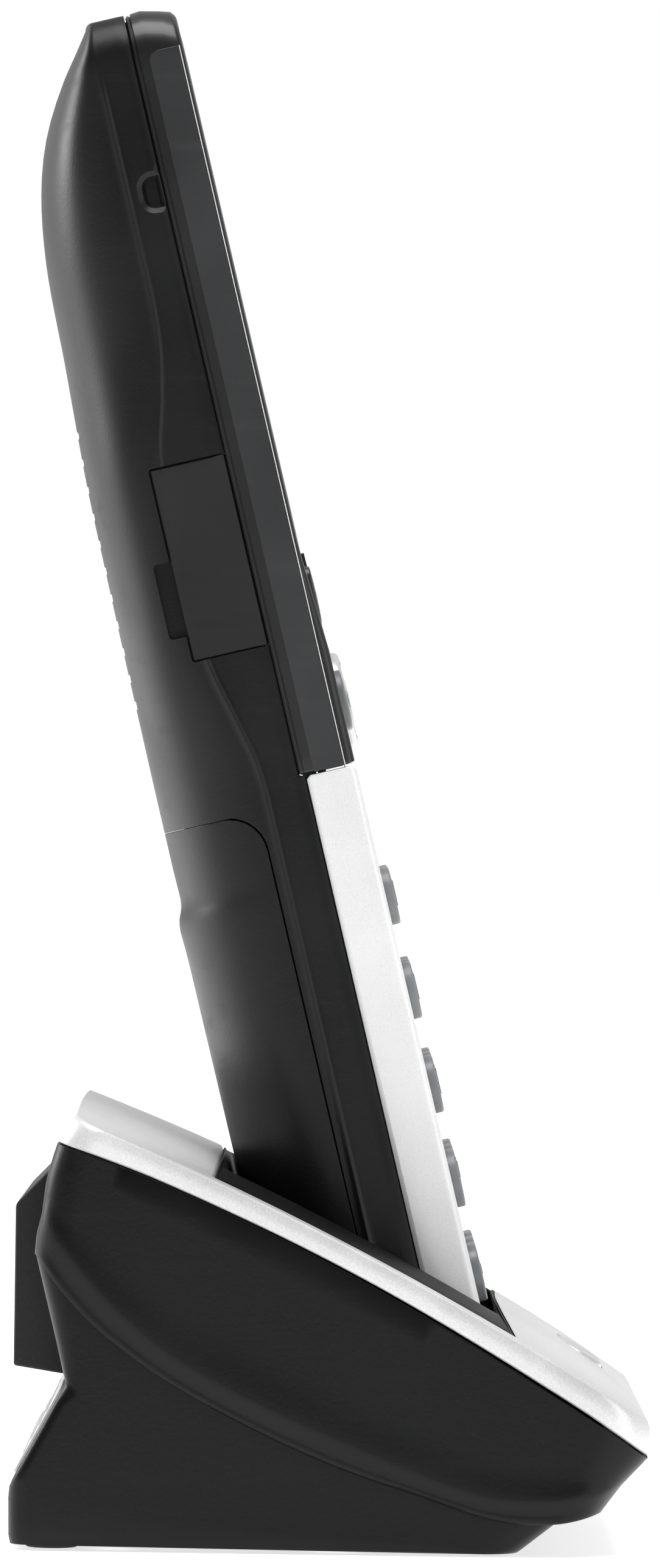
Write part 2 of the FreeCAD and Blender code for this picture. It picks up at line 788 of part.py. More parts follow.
def handset_screws():
    screws = []
    for x, z in rear_screw_places():
        head = disc(screw_head, x, z, 11.0 + 0.05, 11.0 + screw_head_depth)
        screws.append(head.fuse(disc(screw_shank - 0.1, x, z, board_back + 0.4, 11.2)).removeSplitter())
    return Part.makeCompound(screws)


def battery_cover():
    skin = back_loft(0).cut(back_loft(cover_thickness))
    return skin.common(cover_region(0, cover_foot_gap)).common(face_outline(0, -1, back_depth + 2))


def battery_pack():
    y = bay_floor + cell_gap + cell_radius
    z0 = bay_foot + bay_room - 2.0
    pitch = 2 * cell_radius
    pack = box(-pitch, pitch, y - 1.5, y + 1.5, z0, z0 + cell_length)
    for i in (-1, 0, 1):
        pack = pack.fuse(pillar(cell_radius, i * pitch, y, z0, z0 + cell_length))
    return pack.removeSplitter()


def battery_contacts():
    z = bay_foot
    y = bay_floor + cell_radius
    tabs = []
    for x in (-9.0, 9.0):
        tabs.append(box(x - 2, x + 2, y - 2, y + 2, z + 0.05, z + 1.6))
    return Part.makeCompound(tabs)


def front_profile(z_low):
    """Side outline of the black front case: rounded top, flat lens face, ramp down to the key face."""
    rear = upper_seam - seam_gap
    top = handset_length
    steps = [(rear, top - 0.3), ((-0.4, top + 0.55), (-1.9, top + 0.3)), (-lens_face, top - 1.4),
             (-lens_face, lens_foot), (-front_depth, nav_height + 6.0), (-front_depth, z_low)]
    return side_prism((rear, z_low), steps, half_handset)


def trim_outline(gap, thickness):
    """One side panel: a thin plate let into the left side of the front case."""
    x0 = -half_handset
    start, steps = rounded_outline(-side_trim_front - gap, -side_trim_rear + gap, split_height,
                                   down(side_trim_from_top) + gap, [0, 0, 1.1, 0.2])
    wire = outline(start, steps, lambda y, z: V(x0 - (1 if gap else 0), y, z))
    return Part.Face(wire).extrude(V(thickness + (1 if gap else 0), 0, 0))


def lens_plate(gap, y0, y1):
    low = lens_foot + gap * -1
    high = down(lens_from_top) + gap
    width = handset_width - 2 * lens_margin + 2 * gap
    return plate(width, high - low, top_corner_radius - 2.5, 0, (low + high) / 2, y0, y1)


def key_hole(width, size, radius, x, z):
    grow = 2 * key_gap
    return plate(width + grow, size + grow, radius, x, z, -front_depth - 3, -2.0)


def front_case():
    body = front_profile(split_height + joint_gap).common(face_outline(0, -10, 5))
    low = split_height - 1
    inner = face_outline(case_wall, -(lens_face - lens_thickness - 0.9), 3).common(
        box(-30, 30, -10, 5, low, handset_length - 3))
    keys = face_outline(case_wall, -(front_depth - front_wall), 3).common(box(-30, 30, -10, 5, low, lens_foot - 1.2))
    body = body.cut(inner).cut(keys)
    body = body.cut(lens_plate(0.1, -lens_face + lens_thickness, -10))
    body = body.cut(window_plate(0, -10, 0)).cut(grille_plate(0.1, -10, 0))
    trim = trim_outline(0.1, side_trim_thickness)
    body = body.cut(trim).cut(mirrored(trim))
    for hole in upper_key_holes():
        body = body.cut(hole)
    return body


def window_plate(grow, y0, y1):
    return plate(window_width + grow, window_height + grow, 1.0, 0, down(window_from_top + window_height / 2), y0, y1)


def grille_plate(gap, y0, y1):
    height = grille_height + 2 * gap
    return plate(grille_width + 2 * gap, height, height / 2 - 0.01, 0, down(grille_from_top), y0, y1)


def side_trims():
    return pair(trim_outline(0, side_trim_thickness - 0.05))


def display_lens():
    lens = lens_plate(0, -lens_face, -lens_face + lens_thickness)
    return lens.cut(grille_plate(0.1, -10, 0))


def earpiece_grille():
    grille = grille_plate(0, -lens_face + 0.2, -3.1)
    for i in range(5):
        x = (i - 2) * 2.1
        grille = grille.cut(plate(0.9, grille_height * 0.6, 0.4, x, down(grille_from_top), -8, 0))
    return grille


def keypad_bezel():
    body = side_prism((lower_seam - seam_gap, 0), [(lower_seam - seam_gap, split_height - joint_gap),
                                                   (-front_depth, split_height - joint_gap), (-front_depth, 0)],
                      half_handset).common(face_outline(0, -10, 5))
    inner = face_outline(case_wall, -(front_depth - front_wall), 3).common(
        box(-30, 30, -10, 5, case_wall, split_height + 1))
    body = body.cut(inner).cut(disc(0.7, 0, mic_height(), -10, 0))
    for x, z in dial_places():
        body = body.cut(key_hole(dial_width, dial_height, dial_height / 2 - 0.2, x, z))
    return body


# ======================= keys =======================

def dial_places():
    places = []
    for row in range(len(row_names)):
        for column in (-1, 0, 1):
            places.append((column * dial_pitch_x, lowest_row + row * dial_pitch_z))
    return places


def key(width, size, radius, x, z, face):
    """Sprung key: a domed cap through the hole and a flange behind it."""
    cap = plate(width, size, radius, x, z, -face, -key_flange_rear)
    cap = cap.makeFillet(0.5, [e for e in cap.Edges if e.BoundBox.YMax < -face + 0.01])
    flange = plate(width + 2 * key_flange, size + 2 * key_flange, radius + key_flange, x, z,
                   -key_flange_front, -key_flange_rear)
    return cap.fuse(flange).removeSplitter()


def dial_key(x, z):
    return key(dial_width, dial_height, dial_height / 2 - 0.3, x, z, front_depth + key_proud)


def soft_key(x):
    return key(soft_width, soft_size, 1.6, x, soft_height, soft_face())


def soft_face():
    """The soft keys stand a little proud of the ramp beside them."""
    share = (lens_foot - soft_height) / (lens_foot - nav_height - 6.0)
    return lens_face + (front_depth - lens_face) * share + soft_proud


def side_key(x):
    return key(side_key_width, side_key_size, 3.2, x, nav_height, front_depth + 0.7)


def upper_key_holes():
    holes = [key_hole(soft_width, soft_size, 1.8, i * dial_pitch_x, soft_height) for i in (-1, 0, 1)]
    holes += [key_hole(side_key_width, side_key_size, 3.4, i * side_key_x, nav_height) for i in (-1, 1)]
    grow = 0.3
    holes.append(key_hole(nav_width + grow, nav_size + grow, nav_size / 2, 0, nav_height))
    return holes


def navigation_ring():
    face = front_depth + nav_proud
    ring = plate(nav_width, nav_size, nav_size / 2 - 0.05, 0, nav_height, -face, -key_flange_rear)
    ring = ring.makeFillet(0.7, [e for e in ring.Edges if e.BoundBox.YMax < -face + 0.01])
    flange = plate(nav_width + 2 * key_flange, nav_size + 2 * key_flange, nav_size / 2 + 0.3, 0, nav_height,
                   -nav_flange_front, -key_flange_rear)
    return ring.fuse(flange).cut(disc(select_radius + key_gap, 0, nav_height, -10, 0)).removeSplitter()


def select_key():
    face = front_depth + key_proud
    cap = disc(select_radius, 0, nav_height, -face, -key_flange_rear + 0.2)
    return cap.makeFillet(0.6, [e for e in cap.Edges if e.BoundBox.YMax < -face + 0.01])


def key_mat():
    side = half_handset - case_wall - 1.0
    mat = box(-side, side, -mat_front, -mat_front + mat_thickness, lowest_row - 5.0, lens_foot - 1.5)
    return mat


# ======================= handset inner pieces =======================

def board_top():
    return down(24.0)


def mic_height():
    return 5.4


def handset_circuit_board():
    side = half_handset - case_wall - 1.5
    foot = case_wall + 1.0
    board = plate(2 * side, board_top() - foot, 4.5, 0, (board_top() + foot) / 2, -board_front, board_back)
    shield = box(-12, 12, board_back, board_back + 1.6, down(60), down(38))
    for x, z in rear_screw_places():
        board = board.cut(disc(screw_shank + 0.2, x, z, -3, 3))
    return board.fuse(shield).removeSplitter()


def display_module():
    return plate(window_width + 3, window_height + 3, 0.6, 0, down(window_from_top + window_height / 2),
                 -(lens_face - lens_thickness - 1.0), -board_front - 0.05)


def earpiece_speaker():
    rim = disc(7.0, 0, down(grille_from_top), -2.9, -0.6)
    return rim.fuse(disc(4.2, 0, down(grille_from_top), -0.6, 0.8)).removeSplitter()


def loudspeaker():
    z = down(slot_from_top + (slot_count - 1) * slot_pitch / 2)
    basket = disc(11.0, 0, z, 8.5, 12.2)
    return basket.fuse(disc(6.0, 0, z, 5.2, 8.5)).removeSplitter()


def microphone():
    return disc(2.2, 0, mic_height(), -4.2, -board_front - 0.1)


def headset_jack():
    y, z = headset_place()
    half = headset_body / 2
    wall = -half_handset + case_wall + 1.2
    body = box(wall + 0.1, wall + 10.5, y - half, y + half, z - half, z + half)
    mouth = -half_handset + flap_thickness + flap_gap + 0.1
    body = body.fuse(Part.makeCylinder(headset_nose, wall - mouth + 1, V(mouth, y, z), V(1, 0, 0)))
    return body.cut(Part.makeCylinder(headset_bore, headset_bore_depth, V(mouth, y, z), V(1, 0, 0))).removeSplitter()


def headset_flap():
    x0 = -half_handset
    y0 = upper_seam + 0.05
    z0 = down(flap_top + flap_length)
    start, steps = rounded_outline(y0, y0 + flap_width - 0.05, z0, down(flap_top), [0.3] * 4)
    wire = outline(start, steps, lambda y, z: V(x0, y, z))
    return Part.Face(wire).extrude(V(flap_thickness, 0, 0))


def contact_pad_box(side, gap, z0, z1):
    half_w = contact_pad / 2 + gap
    half_d = contact_pad_depth / 2 + gap
    return box(side * contact_x - half_w, side * contact_x + half_w, contact_y - half_d, contact_y + half_d, z0, z1)


def handset_contacts():
    pads = []
    for side in (-1, 1):
        pad = contact_pad_box(side, 0, 0.05, 0.75)
        x = side * contact_x
        tail = box(x - 1.5, x + 1.5, board_back + 0.1, contact_y, case_wall + 1.2, case_wall + 1.8)
        web = box(x - 1.5, x + 1.5, contact_y - 0.6, contact_y, 0.5, case_wall + 1.8)
        pads.append(pad.fuse(web).fuse(tail).removeSplitter())
    return Part.makeCompound(pads)


# ======================= output =======================

def base_pieces():
    return {
        "base_top_cover": base_top_cover(), "cradle_insert": cradle_insert(), "base_hull": base_hull(),
        "base_lower_body": base_lower_body(), "base_bottom_plate": base_bottom_plate(),
        "connector_box": connector_box(), "rating_label": rating_label(), "rubber_feet": rubber_feet(),
        "base_circuit_board": base_circuit_board(), "base_antenna": base_antenna(), "line_jack": line_jack(),
        "power_jack": power_jack(), "charge_contact_left": charge_contact(-1),
        "charge_contact_right": charge_contact(1), "page_button": page_button(), "page_switch": page_switch(),
        "base_screws": base_screws(),
    }


def handset_pieces():
    pieces = {
        "rear_case": rear_case(), "front_case": front_case(), "keypad_bezel": keypad_bezel(),
        "side_trims": side_trims(), "display_lens": display_lens(), "display_module": display_module(),
        "earpiece_grille": earpiece_grille(), "earpiece_speaker": earpiece_speaker(),
        "loudspeaker": loudspeaker(), "microphone": microphone(),
        "handset_circuit_board": handset_circuit_board(), "key_mat": key_mat(),
        "battery_cover": battery_cover(), "battery_pack": battery_pack(), "battery_contacts": battery_contacts(),
        "headset_jack": headset_jack(), "headset_flap": headset_flap(), "handset_contacts": handset_contacts(),
        "handset_screws": handset_screws(), "navigation_ring": navigation_ring(), "select_key": select_key(),
        "talk_key": side_key(-side_key_x), "off_key": side_key(side_key_x),
    }
    for name, column in (("soft_key_left", -1), ("soft_key_middle", 0), ("soft_key_right", 1)):
        pieces[name] = soft_key(column * dial_pitch_x)
    names = [name for row in row_names for name in row]
    for name, (x, z) in zip(names, dial_places()):
        pieces[name] = dial_key(x, z)
    return {name: dock(shape) for name, shape in pieces.items()}


def main():
    os.makedirs("parts", exist_ok=True)
    pieces = {**base_pieces(), **handset_pieces()}
    for name, shape in pieces.items():
        shape.exportStep("parts/" + name + ".step")
        low, high = shape.BoundBox, shape.BoundBox
        print("%-24s solids %d valid %s volume %.1f  x %.2f..%.2f y %.2f..%.2f z %.2f..%.2f" % (
            name, len(shape.Solids), shape.isValid(), shape.Volume,
            low.XMin, high.XMax, low.YMin, high.YMax, low.ZMin, high.ZMax))


main()
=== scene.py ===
"""Cordless telephone and its charging base: surfaces, finishes, light and camera round the CAD frame.

Every new surface is worked out in millimetres and written in metres. Handset shapes are drawn upright
(x across, y to the rear from the seam plane, z up from the foot) and then leaned into the base.
"""
import json
import math

import bpy
import numpy as np
from mathutils import Matrix, Vector


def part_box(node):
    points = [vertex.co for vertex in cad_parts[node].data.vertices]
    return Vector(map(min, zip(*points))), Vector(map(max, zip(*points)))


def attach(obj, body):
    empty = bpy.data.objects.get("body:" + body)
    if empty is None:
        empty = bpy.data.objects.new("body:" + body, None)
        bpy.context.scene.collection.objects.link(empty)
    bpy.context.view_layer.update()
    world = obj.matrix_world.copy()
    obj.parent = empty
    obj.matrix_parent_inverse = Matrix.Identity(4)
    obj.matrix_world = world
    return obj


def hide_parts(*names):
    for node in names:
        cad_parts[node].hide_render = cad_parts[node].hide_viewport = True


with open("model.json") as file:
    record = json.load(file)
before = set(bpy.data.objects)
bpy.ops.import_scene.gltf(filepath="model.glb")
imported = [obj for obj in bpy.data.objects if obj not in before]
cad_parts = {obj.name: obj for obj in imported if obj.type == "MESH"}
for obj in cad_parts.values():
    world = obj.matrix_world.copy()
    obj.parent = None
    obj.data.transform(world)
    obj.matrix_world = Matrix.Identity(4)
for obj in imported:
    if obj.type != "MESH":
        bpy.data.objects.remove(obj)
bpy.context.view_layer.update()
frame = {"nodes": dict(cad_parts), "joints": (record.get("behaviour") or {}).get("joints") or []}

MM = 0.001
record_joints = {joint["name"]: joint for joint in frame["joints"]}

# ---- Docking: the lean comes from the lift joint, the foot's place from the silver bezel's box ----
lift_axis = record_joints["handset_lift"]["axis"]
LEAN_SIN = float(lift_axis[1])
LEAN_COS = float(lift_axis[2])
KEY_FACE = 5.85                 # the bezel's face before the seam plane
BEZEL_SEAM = 0.1
bezel_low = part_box("keypad_bezel")[0]
DOCK_Y = bezel_low.y / MM + KEY_FACE * LEAN_COS
DOCK_Z = bezel_low.z / MM - BEZEL_SEAM * LEAN_SIN


# ======================= numbers to surfaces =======================

def docked(x, y, z):
    """Leans handset points: Y = y cos + z sin + dock Y, Z = -y sin + z cos + dock Z."""
    x, y, z = np.broadcast_arrays(x, y, z)
    return np.stack([x, y * LEAN_COS + z * LEAN_SIN + DOCK_Y, -y * LEAN_SIN + z * LEAN_COS + DOCK_Z], -1)


def plain(x, y, z):
    """Base points stay where they are drawn."""
    return np.stack(np.broadcast_arrays(x, y, z), -1)


def curve_through(knots, values, at):
    """Cubic Hermite curve through the knots; a knot's slope is the mean of the chords beside it."""
    knots = np.asarray(knots, float)
    values = np.asarray(values, float)
    at = np.clip(at, knots[0], knots[-1])
    chord = np.diff(values) / np.diff(knots)
    slope = np.concatenate([chord[:1], (chord[:-1] + chord[1:]) / 2, chord[-1:]])
    cell = np.clip(np.searchsorted(knots, at, side="right") - 1, 0, len(knots) - 2)
    step = knots[cell + 1] - knots[cell]
    t = (at - knots[cell]) / step
    return ((2 * t ** 3 - 3 * t ** 2 + 1) * values[cell] + (t ** 3 - 2 * t ** 2 + t) * step * slope[cell]
            + (3 * t ** 2 - 2 * t ** 3) * values[cell + 1] + (t ** 3 - t ** 2) * step * slope[cell + 1])


def rounded_loop(a0, a1, b0, b1, radii, corner=8, side=(8, 8)):
    """Loop round a rectangle: quarter circles at its corners, from (a0, b0) on, and straight runs between."""
    radii = np.maximum(np.asarray(radii, float), 1e-3)
    middles = np.array([[a0 + radii[0], b0 + radii[0]], [a1 - radii[1], b0 + radii[1]],
                        [a1 - radii[2], b1 - radii[2]], [a0 + radii[3], b1 - radii[3]]])
    turn = np.radians([180, 270, 0, 90])[:, None] + np.linspace(0, np.pi / 2, corner)
    arcs = middles[:, None] + radii[:, None, None] * np.stack([np.cos(turn), np.sin(turn)], -1)
    loop = []
    for k in range(4):
        run = np.linspace(0, 1, side[k % 2] + 2)[1:-1, None]
        loop += [arcs[k], arcs[k][-1] * (1 - run) + arcs[(k + 1) % 4][0] * run]
    return np.concatenate(loop)


def soft_polygon(corners, radii, steps=5):
    """Loop round a polygon: at each corner a quadratic curve that starts and ends a radius from it."""
    corners = np.asarray(corners, float)
    before = np.roll(corners, 1, 0) - corners
    after = np.roll(corners, -1, 0) - corners
    reach = np.asarray(radii, float)[:, None]
    start = corners + before / np.linalg.norm(before, axis=1, keepdims=True) * reach
    end = corners + after / np.linalg.norm(after, axis=1, keepdims=True) * reach
    t = np.linspace(0, 1, steps)[None, :, None]
    curve = start[:, None] * (1 - t) ** 2 + 2 * corners[:, None] * t * (1 - t) + end[:, None] * t ** 2
    return curve.reshape(-1, 2)


def cells(rows, columns, closed):
    """Quads between the rows and columns of a grid; closed joins the last column to the first."""
    index = np.arange(rows * columns).reshape(rows, columns)
    if closed:
        index = np.concatenate([index, index[:, :1]], 1)
    return np.stack([index[:-1, :-1], index[:-1, 1:], index[1:, 1:], index[1:, :-1]], -1).reshape(-1, 4)


def outward(points, quads, tris):
    """Turns a closed surface's faces over where the volume summed from its triangles is negative."""
    every = np.concatenate([quads[:, [0, 1, 2]], quads[:, [0, 2, 3]], tris])
    a, b, c = (points[every[:, k]] for k in range(3))
    if np.einsum("ij,ij->i", a, np.cross(b, c)).sum() < 0:
        return points, quads[:, ::-1], tris[:, ::-1]
    return points, quads, tris


def stacked(rings):
    """Closed surface through rings, with a fan to the middle of the first and of the last ring."""
    count, around = rings.shape[:2]
    points = np.concatenate([rings.reshape(-1, 3), rings[0].mean(0)[None], rings[-1].mean(0)[None]])
    edge = np.arange(around)
    following = np.roll(edge, -1)
    last = (count - 1) * around
    first_fan = np.stack([following, edge, np.full(around, count * around)], -1)
    last_fan = np.stack([edge + last, following + last, np.full(around, count * around + 1)], -1)
    return outward(points, cells(count, around, True), np.concatenate([first_fan, last_fan]))


def hooped(rings):
    """Closed surface through rings where the last ring joins the first again, like a hoop."""
    wrapped = np.concatenate([rings, rings[:1]])
    quads = cells(len(wrapped), rings.shape[1], True) % (len(rings) * rings.shape[1])
    return outward(rings.reshape(-1, 3), quads, np.zeros((0, 3), int))


def slab(outer, inner):
    """Closed plate between two grids of the same shape, with a strip of faces round their border."""
    rows, columns = outer.shape[:2]
    index = np.arange(rows * columns).reshape(rows, columns)
    border = np.concatenate([index[0, :-1], index[:-1, -1], index[-1, :0:-1], index[:0:-1, 0]])
    following = np.roll(border, -1)
    shift = rows * columns
    strip = np.stack([following, border, border + shift, following + shift], -1)
    face = cells(rows, columns, False)
    quads = np.concatenate([face, face[:, ::-1] + shift, strip])
    points = np.concatenate([outer.reshape(-1, 3), inner.reshape(-1, 3)])
    return outward(points, quads, np.zeros((0, 3), int))


def mesh_of(name, surfaces):
    """One mesh from several surfaces, millimetres to metres."""
    mesh = bpy.data.meshes.new(name)
    points, faces, shift = [], [], 0
    for surface_points, quads, tris in surfaces:
        points.append(surface_points)
        faces += (quads + shift).tolist() + (tris + shift).tolist()
        shift += len(surface_points)
    mesh.from_pydata((np.concatenate(points) * MM).tolist(), [], faces)
    mesh.validate()
    return mesh


def put_in_scene(name, data):
    """A new object in the scene for a mesh, light, camera or type."""
    thing = bpy.data.objects.new(name, data)
    bpy.context.scene.collection.objects.link(thing)
    return thing


SHARP_ANGLE = 32.0              # edges sharper than this many degrees stay sharp in smooth shading


def carved(surfaces, cutters):
    """Mesh of the surfaces with the cutters' volume taken away."""
    stock = put_in_scene("stock", mesh_of("stock", surfaces))
    tool = put_in_scene("tool", mesh_of("tool", cutters))
    cut = stock.modifiers.new("cut", "BOOLEAN")
    cut.operation = "DIFFERENCE"
    cut.solver = "EXACT"
    cut.use_self = True
    cut.object = tool
    graph = bpy.context.evaluated_depsgraph_get()
    result = bpy.data.meshes.new_from_object(stock.evaluated_get(graph))
    for thing in (stock, tool):
        old = thing.data
        bpy.data.objects.remove(thing)
        bpy.data.meshes.remove(old)
    return result


def place(name, shape, finish, body, replaces=(), ease=0.0):
    """Puts a mesh, or surfaces made into one, in the scene as a piece on a body; ease bevels hard edges."""
    mesh = mesh_of(name, shape) if isinstance(shape, list) else shape
    mesh.name = name
    mesh.materials.clear()
    mesh.materials.append(finish)
    mesh.shade_smooth()
    mesh.set_sharp_from_angle(angle=math.radians(SHARP_ANGLE))
    piece = put_in_scene(name, mesh)
    if ease:
        bevel = piece.modifiers.new("ease", "BEVEL")
        bevel.width = ease * MM
        bevel.segments = 2
        bevel.limit_method = "ANGLE"
        bevel.angle_limit = math.radians(40)
        bevel.harden_normals = True
    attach(piece, body)
    if replaces:
        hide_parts(*replaces)
    return piece


# ======================= finishes =======================

def set_range(node, *limits):
    """Sets a range node's two input limits and its two output limits."""
    for socket, limit in zip(("From Min", "From Max", "To Min", "To Max"), limits):
        node.inputs[socket].default_value = limit


class Finish:
    """A procedural finish on a Principled shader, built node by node on Object coordinates."""

    def __init__(self, name, roughness, specular=0.5, metallic=0.0, coat=0.0, coat_roughness=0.05):
        """Sets the shader's constant values and keeps the object's own coordinates at hand."""
        self.material = bpy.data.materials.new(name)
        self.material.use_nodes = True
        self.nodes = self.material.node_tree.nodes
        self.links = self.material.node_tree.links
        self.shader = self.nodes["Principled BSDF"]
        self.shader.inputs["Roughness"].default_value = roughness
        self.shader.inputs["Specular IOR Level"].default_value = specular
        self.shader.inputs["Metallic"].default_value = metallic
        self.shader.inputs["Coat Weight"].default_value = coat
        self.shader.inputs["Coat Roughness"].default_value = coat_roughness
        self.where = self.nodes.new("ShaderNodeTexCoord").outputs["Object"]

    def noise(self, scale, detail=3.0, stretch=(1.0, 1.0, 1.0), roughness=0.55):
        """Noise of a scale per metre, stretched along the axes."""
        mapping = self.nodes.new("ShaderNodeMapping")
        mapping.inputs["Scale"].default_value = stretch
        self.links.new(self.where, mapping.inputs["Vector"])
        node = self.nodes.new("ShaderNodeTexNoise")
        node.inputs["Scale"].default_value = scale
        node.inputs["Detail"].default_value = detail
        node.inputs["Roughness"].default_value = roughness
        self.links.new(mapping.outputs["Vector"], node.inputs["Vector"])
        return node.outputs["Fac"]

    def between(self, value, low, high, out_low, out_high):
        """Maps a value from one range to another, held at the ends."""
        node = self.nodes.new("ShaderNodeMapRange")
        set_range(node, low, high, out_low, out_high)
        self.links.new(value, node.inputs["Value"])
        return node.outputs["Result"]

    def total(self, first, second):
        """Sum of two values."""
        node = self.nodes.new("ShaderNodeMath")
        node.operation = "ADD"
        self.links.new(first, node.inputs[0])
        self.links.new(second, node.inputs[1])
        return node.outputs["Value"]

    def colours(self, value, dark, light):
        """Blends from dark to light by the value."""
        node = self.nodes.new("ShaderNodeMix")
        node.data_type = "RGBA"
        node.inputs["A"].default_value = (*dark, 1.0)
        node.inputs["B"].default_value = (*light, 1.0)
        self.links.new(value, node.inputs["Factor"])
        self.links.new(node.outputs["Result"], self.shader.inputs["Base Color"])

    def gloss(self, value):
        """Roughness from a value."""
        self.links.new(value, self.shader.inputs["Roughness"])

    def relief(self, value, height, strength=1.0):
        """Bump of a height in millimetres from a value."""
        node = self.nodes.new("ShaderNodeBump")
        node.inputs["Distance"].default_value = height * MM
        node.inputs["Strength"].default_value = strength
        self.links.new(value, node.inputs["Height"])
        self.links.new(node.outputs["Normal"], self.shader.inputs["Normal"])


def moulded(name, dark, light, gloss, grain=2600.0, height=0.02, specular=0.5, coat=0.0, scuff=0.05):
    """Moulded plastic: a fine spark-eroded grain, cloudy gloss, and long faint rub marks."""
    finish = Finish(name, gloss[0], specular, 0.0, coat)
    cloud = finish.noise(45.0, 2.0)
    rub = finish.noise(160.0, 4.0, (1.0, 0.25, 3.0))
    spark = finish.noise(grain, 2.0)
    finish.colours(finish.between(finish.total(cloud, finish.between(rub, 0.55, 0.75, 0.0, scuff * 4)),
                                  0.35, 0.75, 0.0, 1.0), dark, light)
    finish.gloss(finish.total(finish.between(cloud, 0.3, 0.7, gloss[0], gloss[1]),
                              finish.between(rub, 0.58, 0.72, 0.0, scuff)))
    finish.relief(spark, height)
    return finish.material


def lacquered(name, dark, light, gloss, metallic, coat):
    """Silver lacquer: metal flake in the colour, a slight orange-peel relief and soft handling marks."""
    finish = Finish(name, gloss[0], 0.5, metallic, coat, 0.12)
    flake = finish.noise(5200.0, 1.0)
    cloud = finish.noise(60.0, 3.0)
    finish.colours(finish.between(finish.total(flake, cloud), 0.75, 1.25, 0.0, 1.0), dark, light)
    finish.gloss(finish.between(cloud, 0.3, 0.7, gloss[0], gloss[1]))
    finish.relief(finish.noise(1400.0, 2.0), 0.012)
    return finish.material


def worn_metal(name, dark, light, gloss):
    """Metal with fine drawn lines and cloudy tarnish."""
    finish = Finish(name, gloss[0], 0.5, 1.0)
    lines = finish.noise(900.0, 2.0, (1.0, 1.0, 8.0))
    cloud = finish.noise(240.0, 3.0)
    finish.colours(finish.between(cloud, 0.3, 0.7, 0.0, 1.0), dark, light)
    finish.gloss(finish.between(lines, 0.3, 0.7, gloss[0], gloss[1]))
    finish.relief(lines, 0.01)
    return finish.material


def grey(level, tint=(1.0, 1.0, 1.0)):
    """Grey of a level, with the level multiplied by the tint's share in each channel."""
    return tuple(level * share for share in tint)


def cool(level):
    """Grey of a level with a slight blue cast."""
    return grey(level, (0.97, 1.0, 1.04))


handset_black = moulded("handset_black", cool(0.0035), cool(0.0065), (0.34, 0.44), 2400, 0.016, 0.24)
cover_black = moulded("battery_cover_black", cool(0.0035), cool(0.006), (0.36, 0.46), 2400, 0.018, 0.24)
front_black = moulded("front_black", grey(0.005), grey(0.008), (0.30, 0.40), 900, 0.004, 0.42, 0.12, 0.02)
lens_black = moulded("lens_black", grey(0.004), grey(0.006), (0.05, 0.09), 700, 0.002, 0.5, 1.0, 0.015)
trim_grey = moulded("side_grey", cool(0.022), cool(0.030), (0.30, 0.40), 3000, 0.012, 0.35)
flap_rubber = moulded("flap_rubber", grey(0.013), grey(0.019), (0.55, 0.68), 1700, 0.02, 0.2)
base_black = moulded("base_black", cool(0.0025), cool(0.0045), (0.34, 0.44), 2000, 0.022, 0.2)
cradle_black = moulded("cradle_black", grey(0.003), grey(0.005), (0.45, 0.55), 2600, 0.014, 0.16)
connector_black = moulded("connector_black", cool(0.009), cool(0.014), (0.40, 0.52), 1800, 0.022, 0.28)
plate_black = moulded("plate_black", grey(0.012), grey(0.018), (0.5, 0.62), 1500, 0.03, 0.35)
jack_plastic = moulded("jack_plastic", grey(0.02), grey(0.03), (0.45, 0.55), 2000, 0.015, 0.4)
foot_rubber = moulded("foot_rubber", grey(0.03), grey(0.045), (0.7, 0.85), 1200, 0.04, 0.25)
label_grey = moulded("label_grey", grey(0.68), grey(0.78), (0.45, 0.6), 800, 0.006, 0.4)
key_grey = moulded("dial_key_grey", cool(0.15), cool(0.19), (0.30, 0.42), 2600, 0.012, 0.5)
side_key_grey = moulded("side_key_grey", cool(0.12), cool(0.16), (0.30, 0.42), 2600, 0.012, 0.5)
soft_key_black = moulded("soft_key_black", grey(0.012), grey(0.02), (0.25, 0.35), 2600, 0.01, 0.5)
legend_white = moulded("legend_white", grey(0.72), grey(0.80), (0.35, 0.45), 1800, 0.004, 0.4)
legend_black = moulded("legend_black", grey(0.012), grey(0.02), (0.35, 0.45), 1800, 0.004, 0.4)
legend_green = moulded("legend_green", (0.03, 0.30, 0.08), (0.05, 0.36, 0.11), (0.3, 0.4), 1800, 0.004, 0.4)
legend_red = moulded("legend_red", (0.45, 0.03, 0.02), (0.52, 0.05, 0.03), (0.3, 0.4), 1800, 0.004, 0.4)
display_grey = moulded("display_grey", (0.30, 0.34, 0.29), (0.34, 0.38, 0.33), (0.12, 0.18), 700, 0.002,
                       0.5, 1.0)
key_rubber = moulded("key_rubber", grey(0.10), grey(0.14), (0.6, 0.7), 1500, 0.02, 0.3)
battery_sleeve = moulded("battery_sleeve", (0.02, 0.09, 0.05), (0.03, 0.12, 0.07), (0.3, 0.42), 900, 0.01)
board_green = moulded("circuit_board", (0.01, 0.07, 0.02), (0.02, 0.11, 0.04), (0.3, 0.45), 1400, 0.02, 0.5)
silver_cover = lacquered("silver_cover", grey(0.62), grey(0.76), (0.34, 0.46), 0.4, 0.1)
silver_bezel = lacquered("silver_bezel", grey(0.66), grey(0.75), (0.32, 0.42), 0.15, 0.2)
silver_key = lacquered("silver_key", grey(0.55), grey(0.65), (0.26, 0.36), 0.4, 0.2)
contact_metal = worn_metal("contact_metal", (0.62, 0.60, 0.55), (0.78, 0.76, 0.70), (0.18, 0.32))
tinned_metal = worn_metal("tinned_metal", (0.50, 0.50, 0.50), (0.66, 0.66, 0.66), (0.28, 0.42))
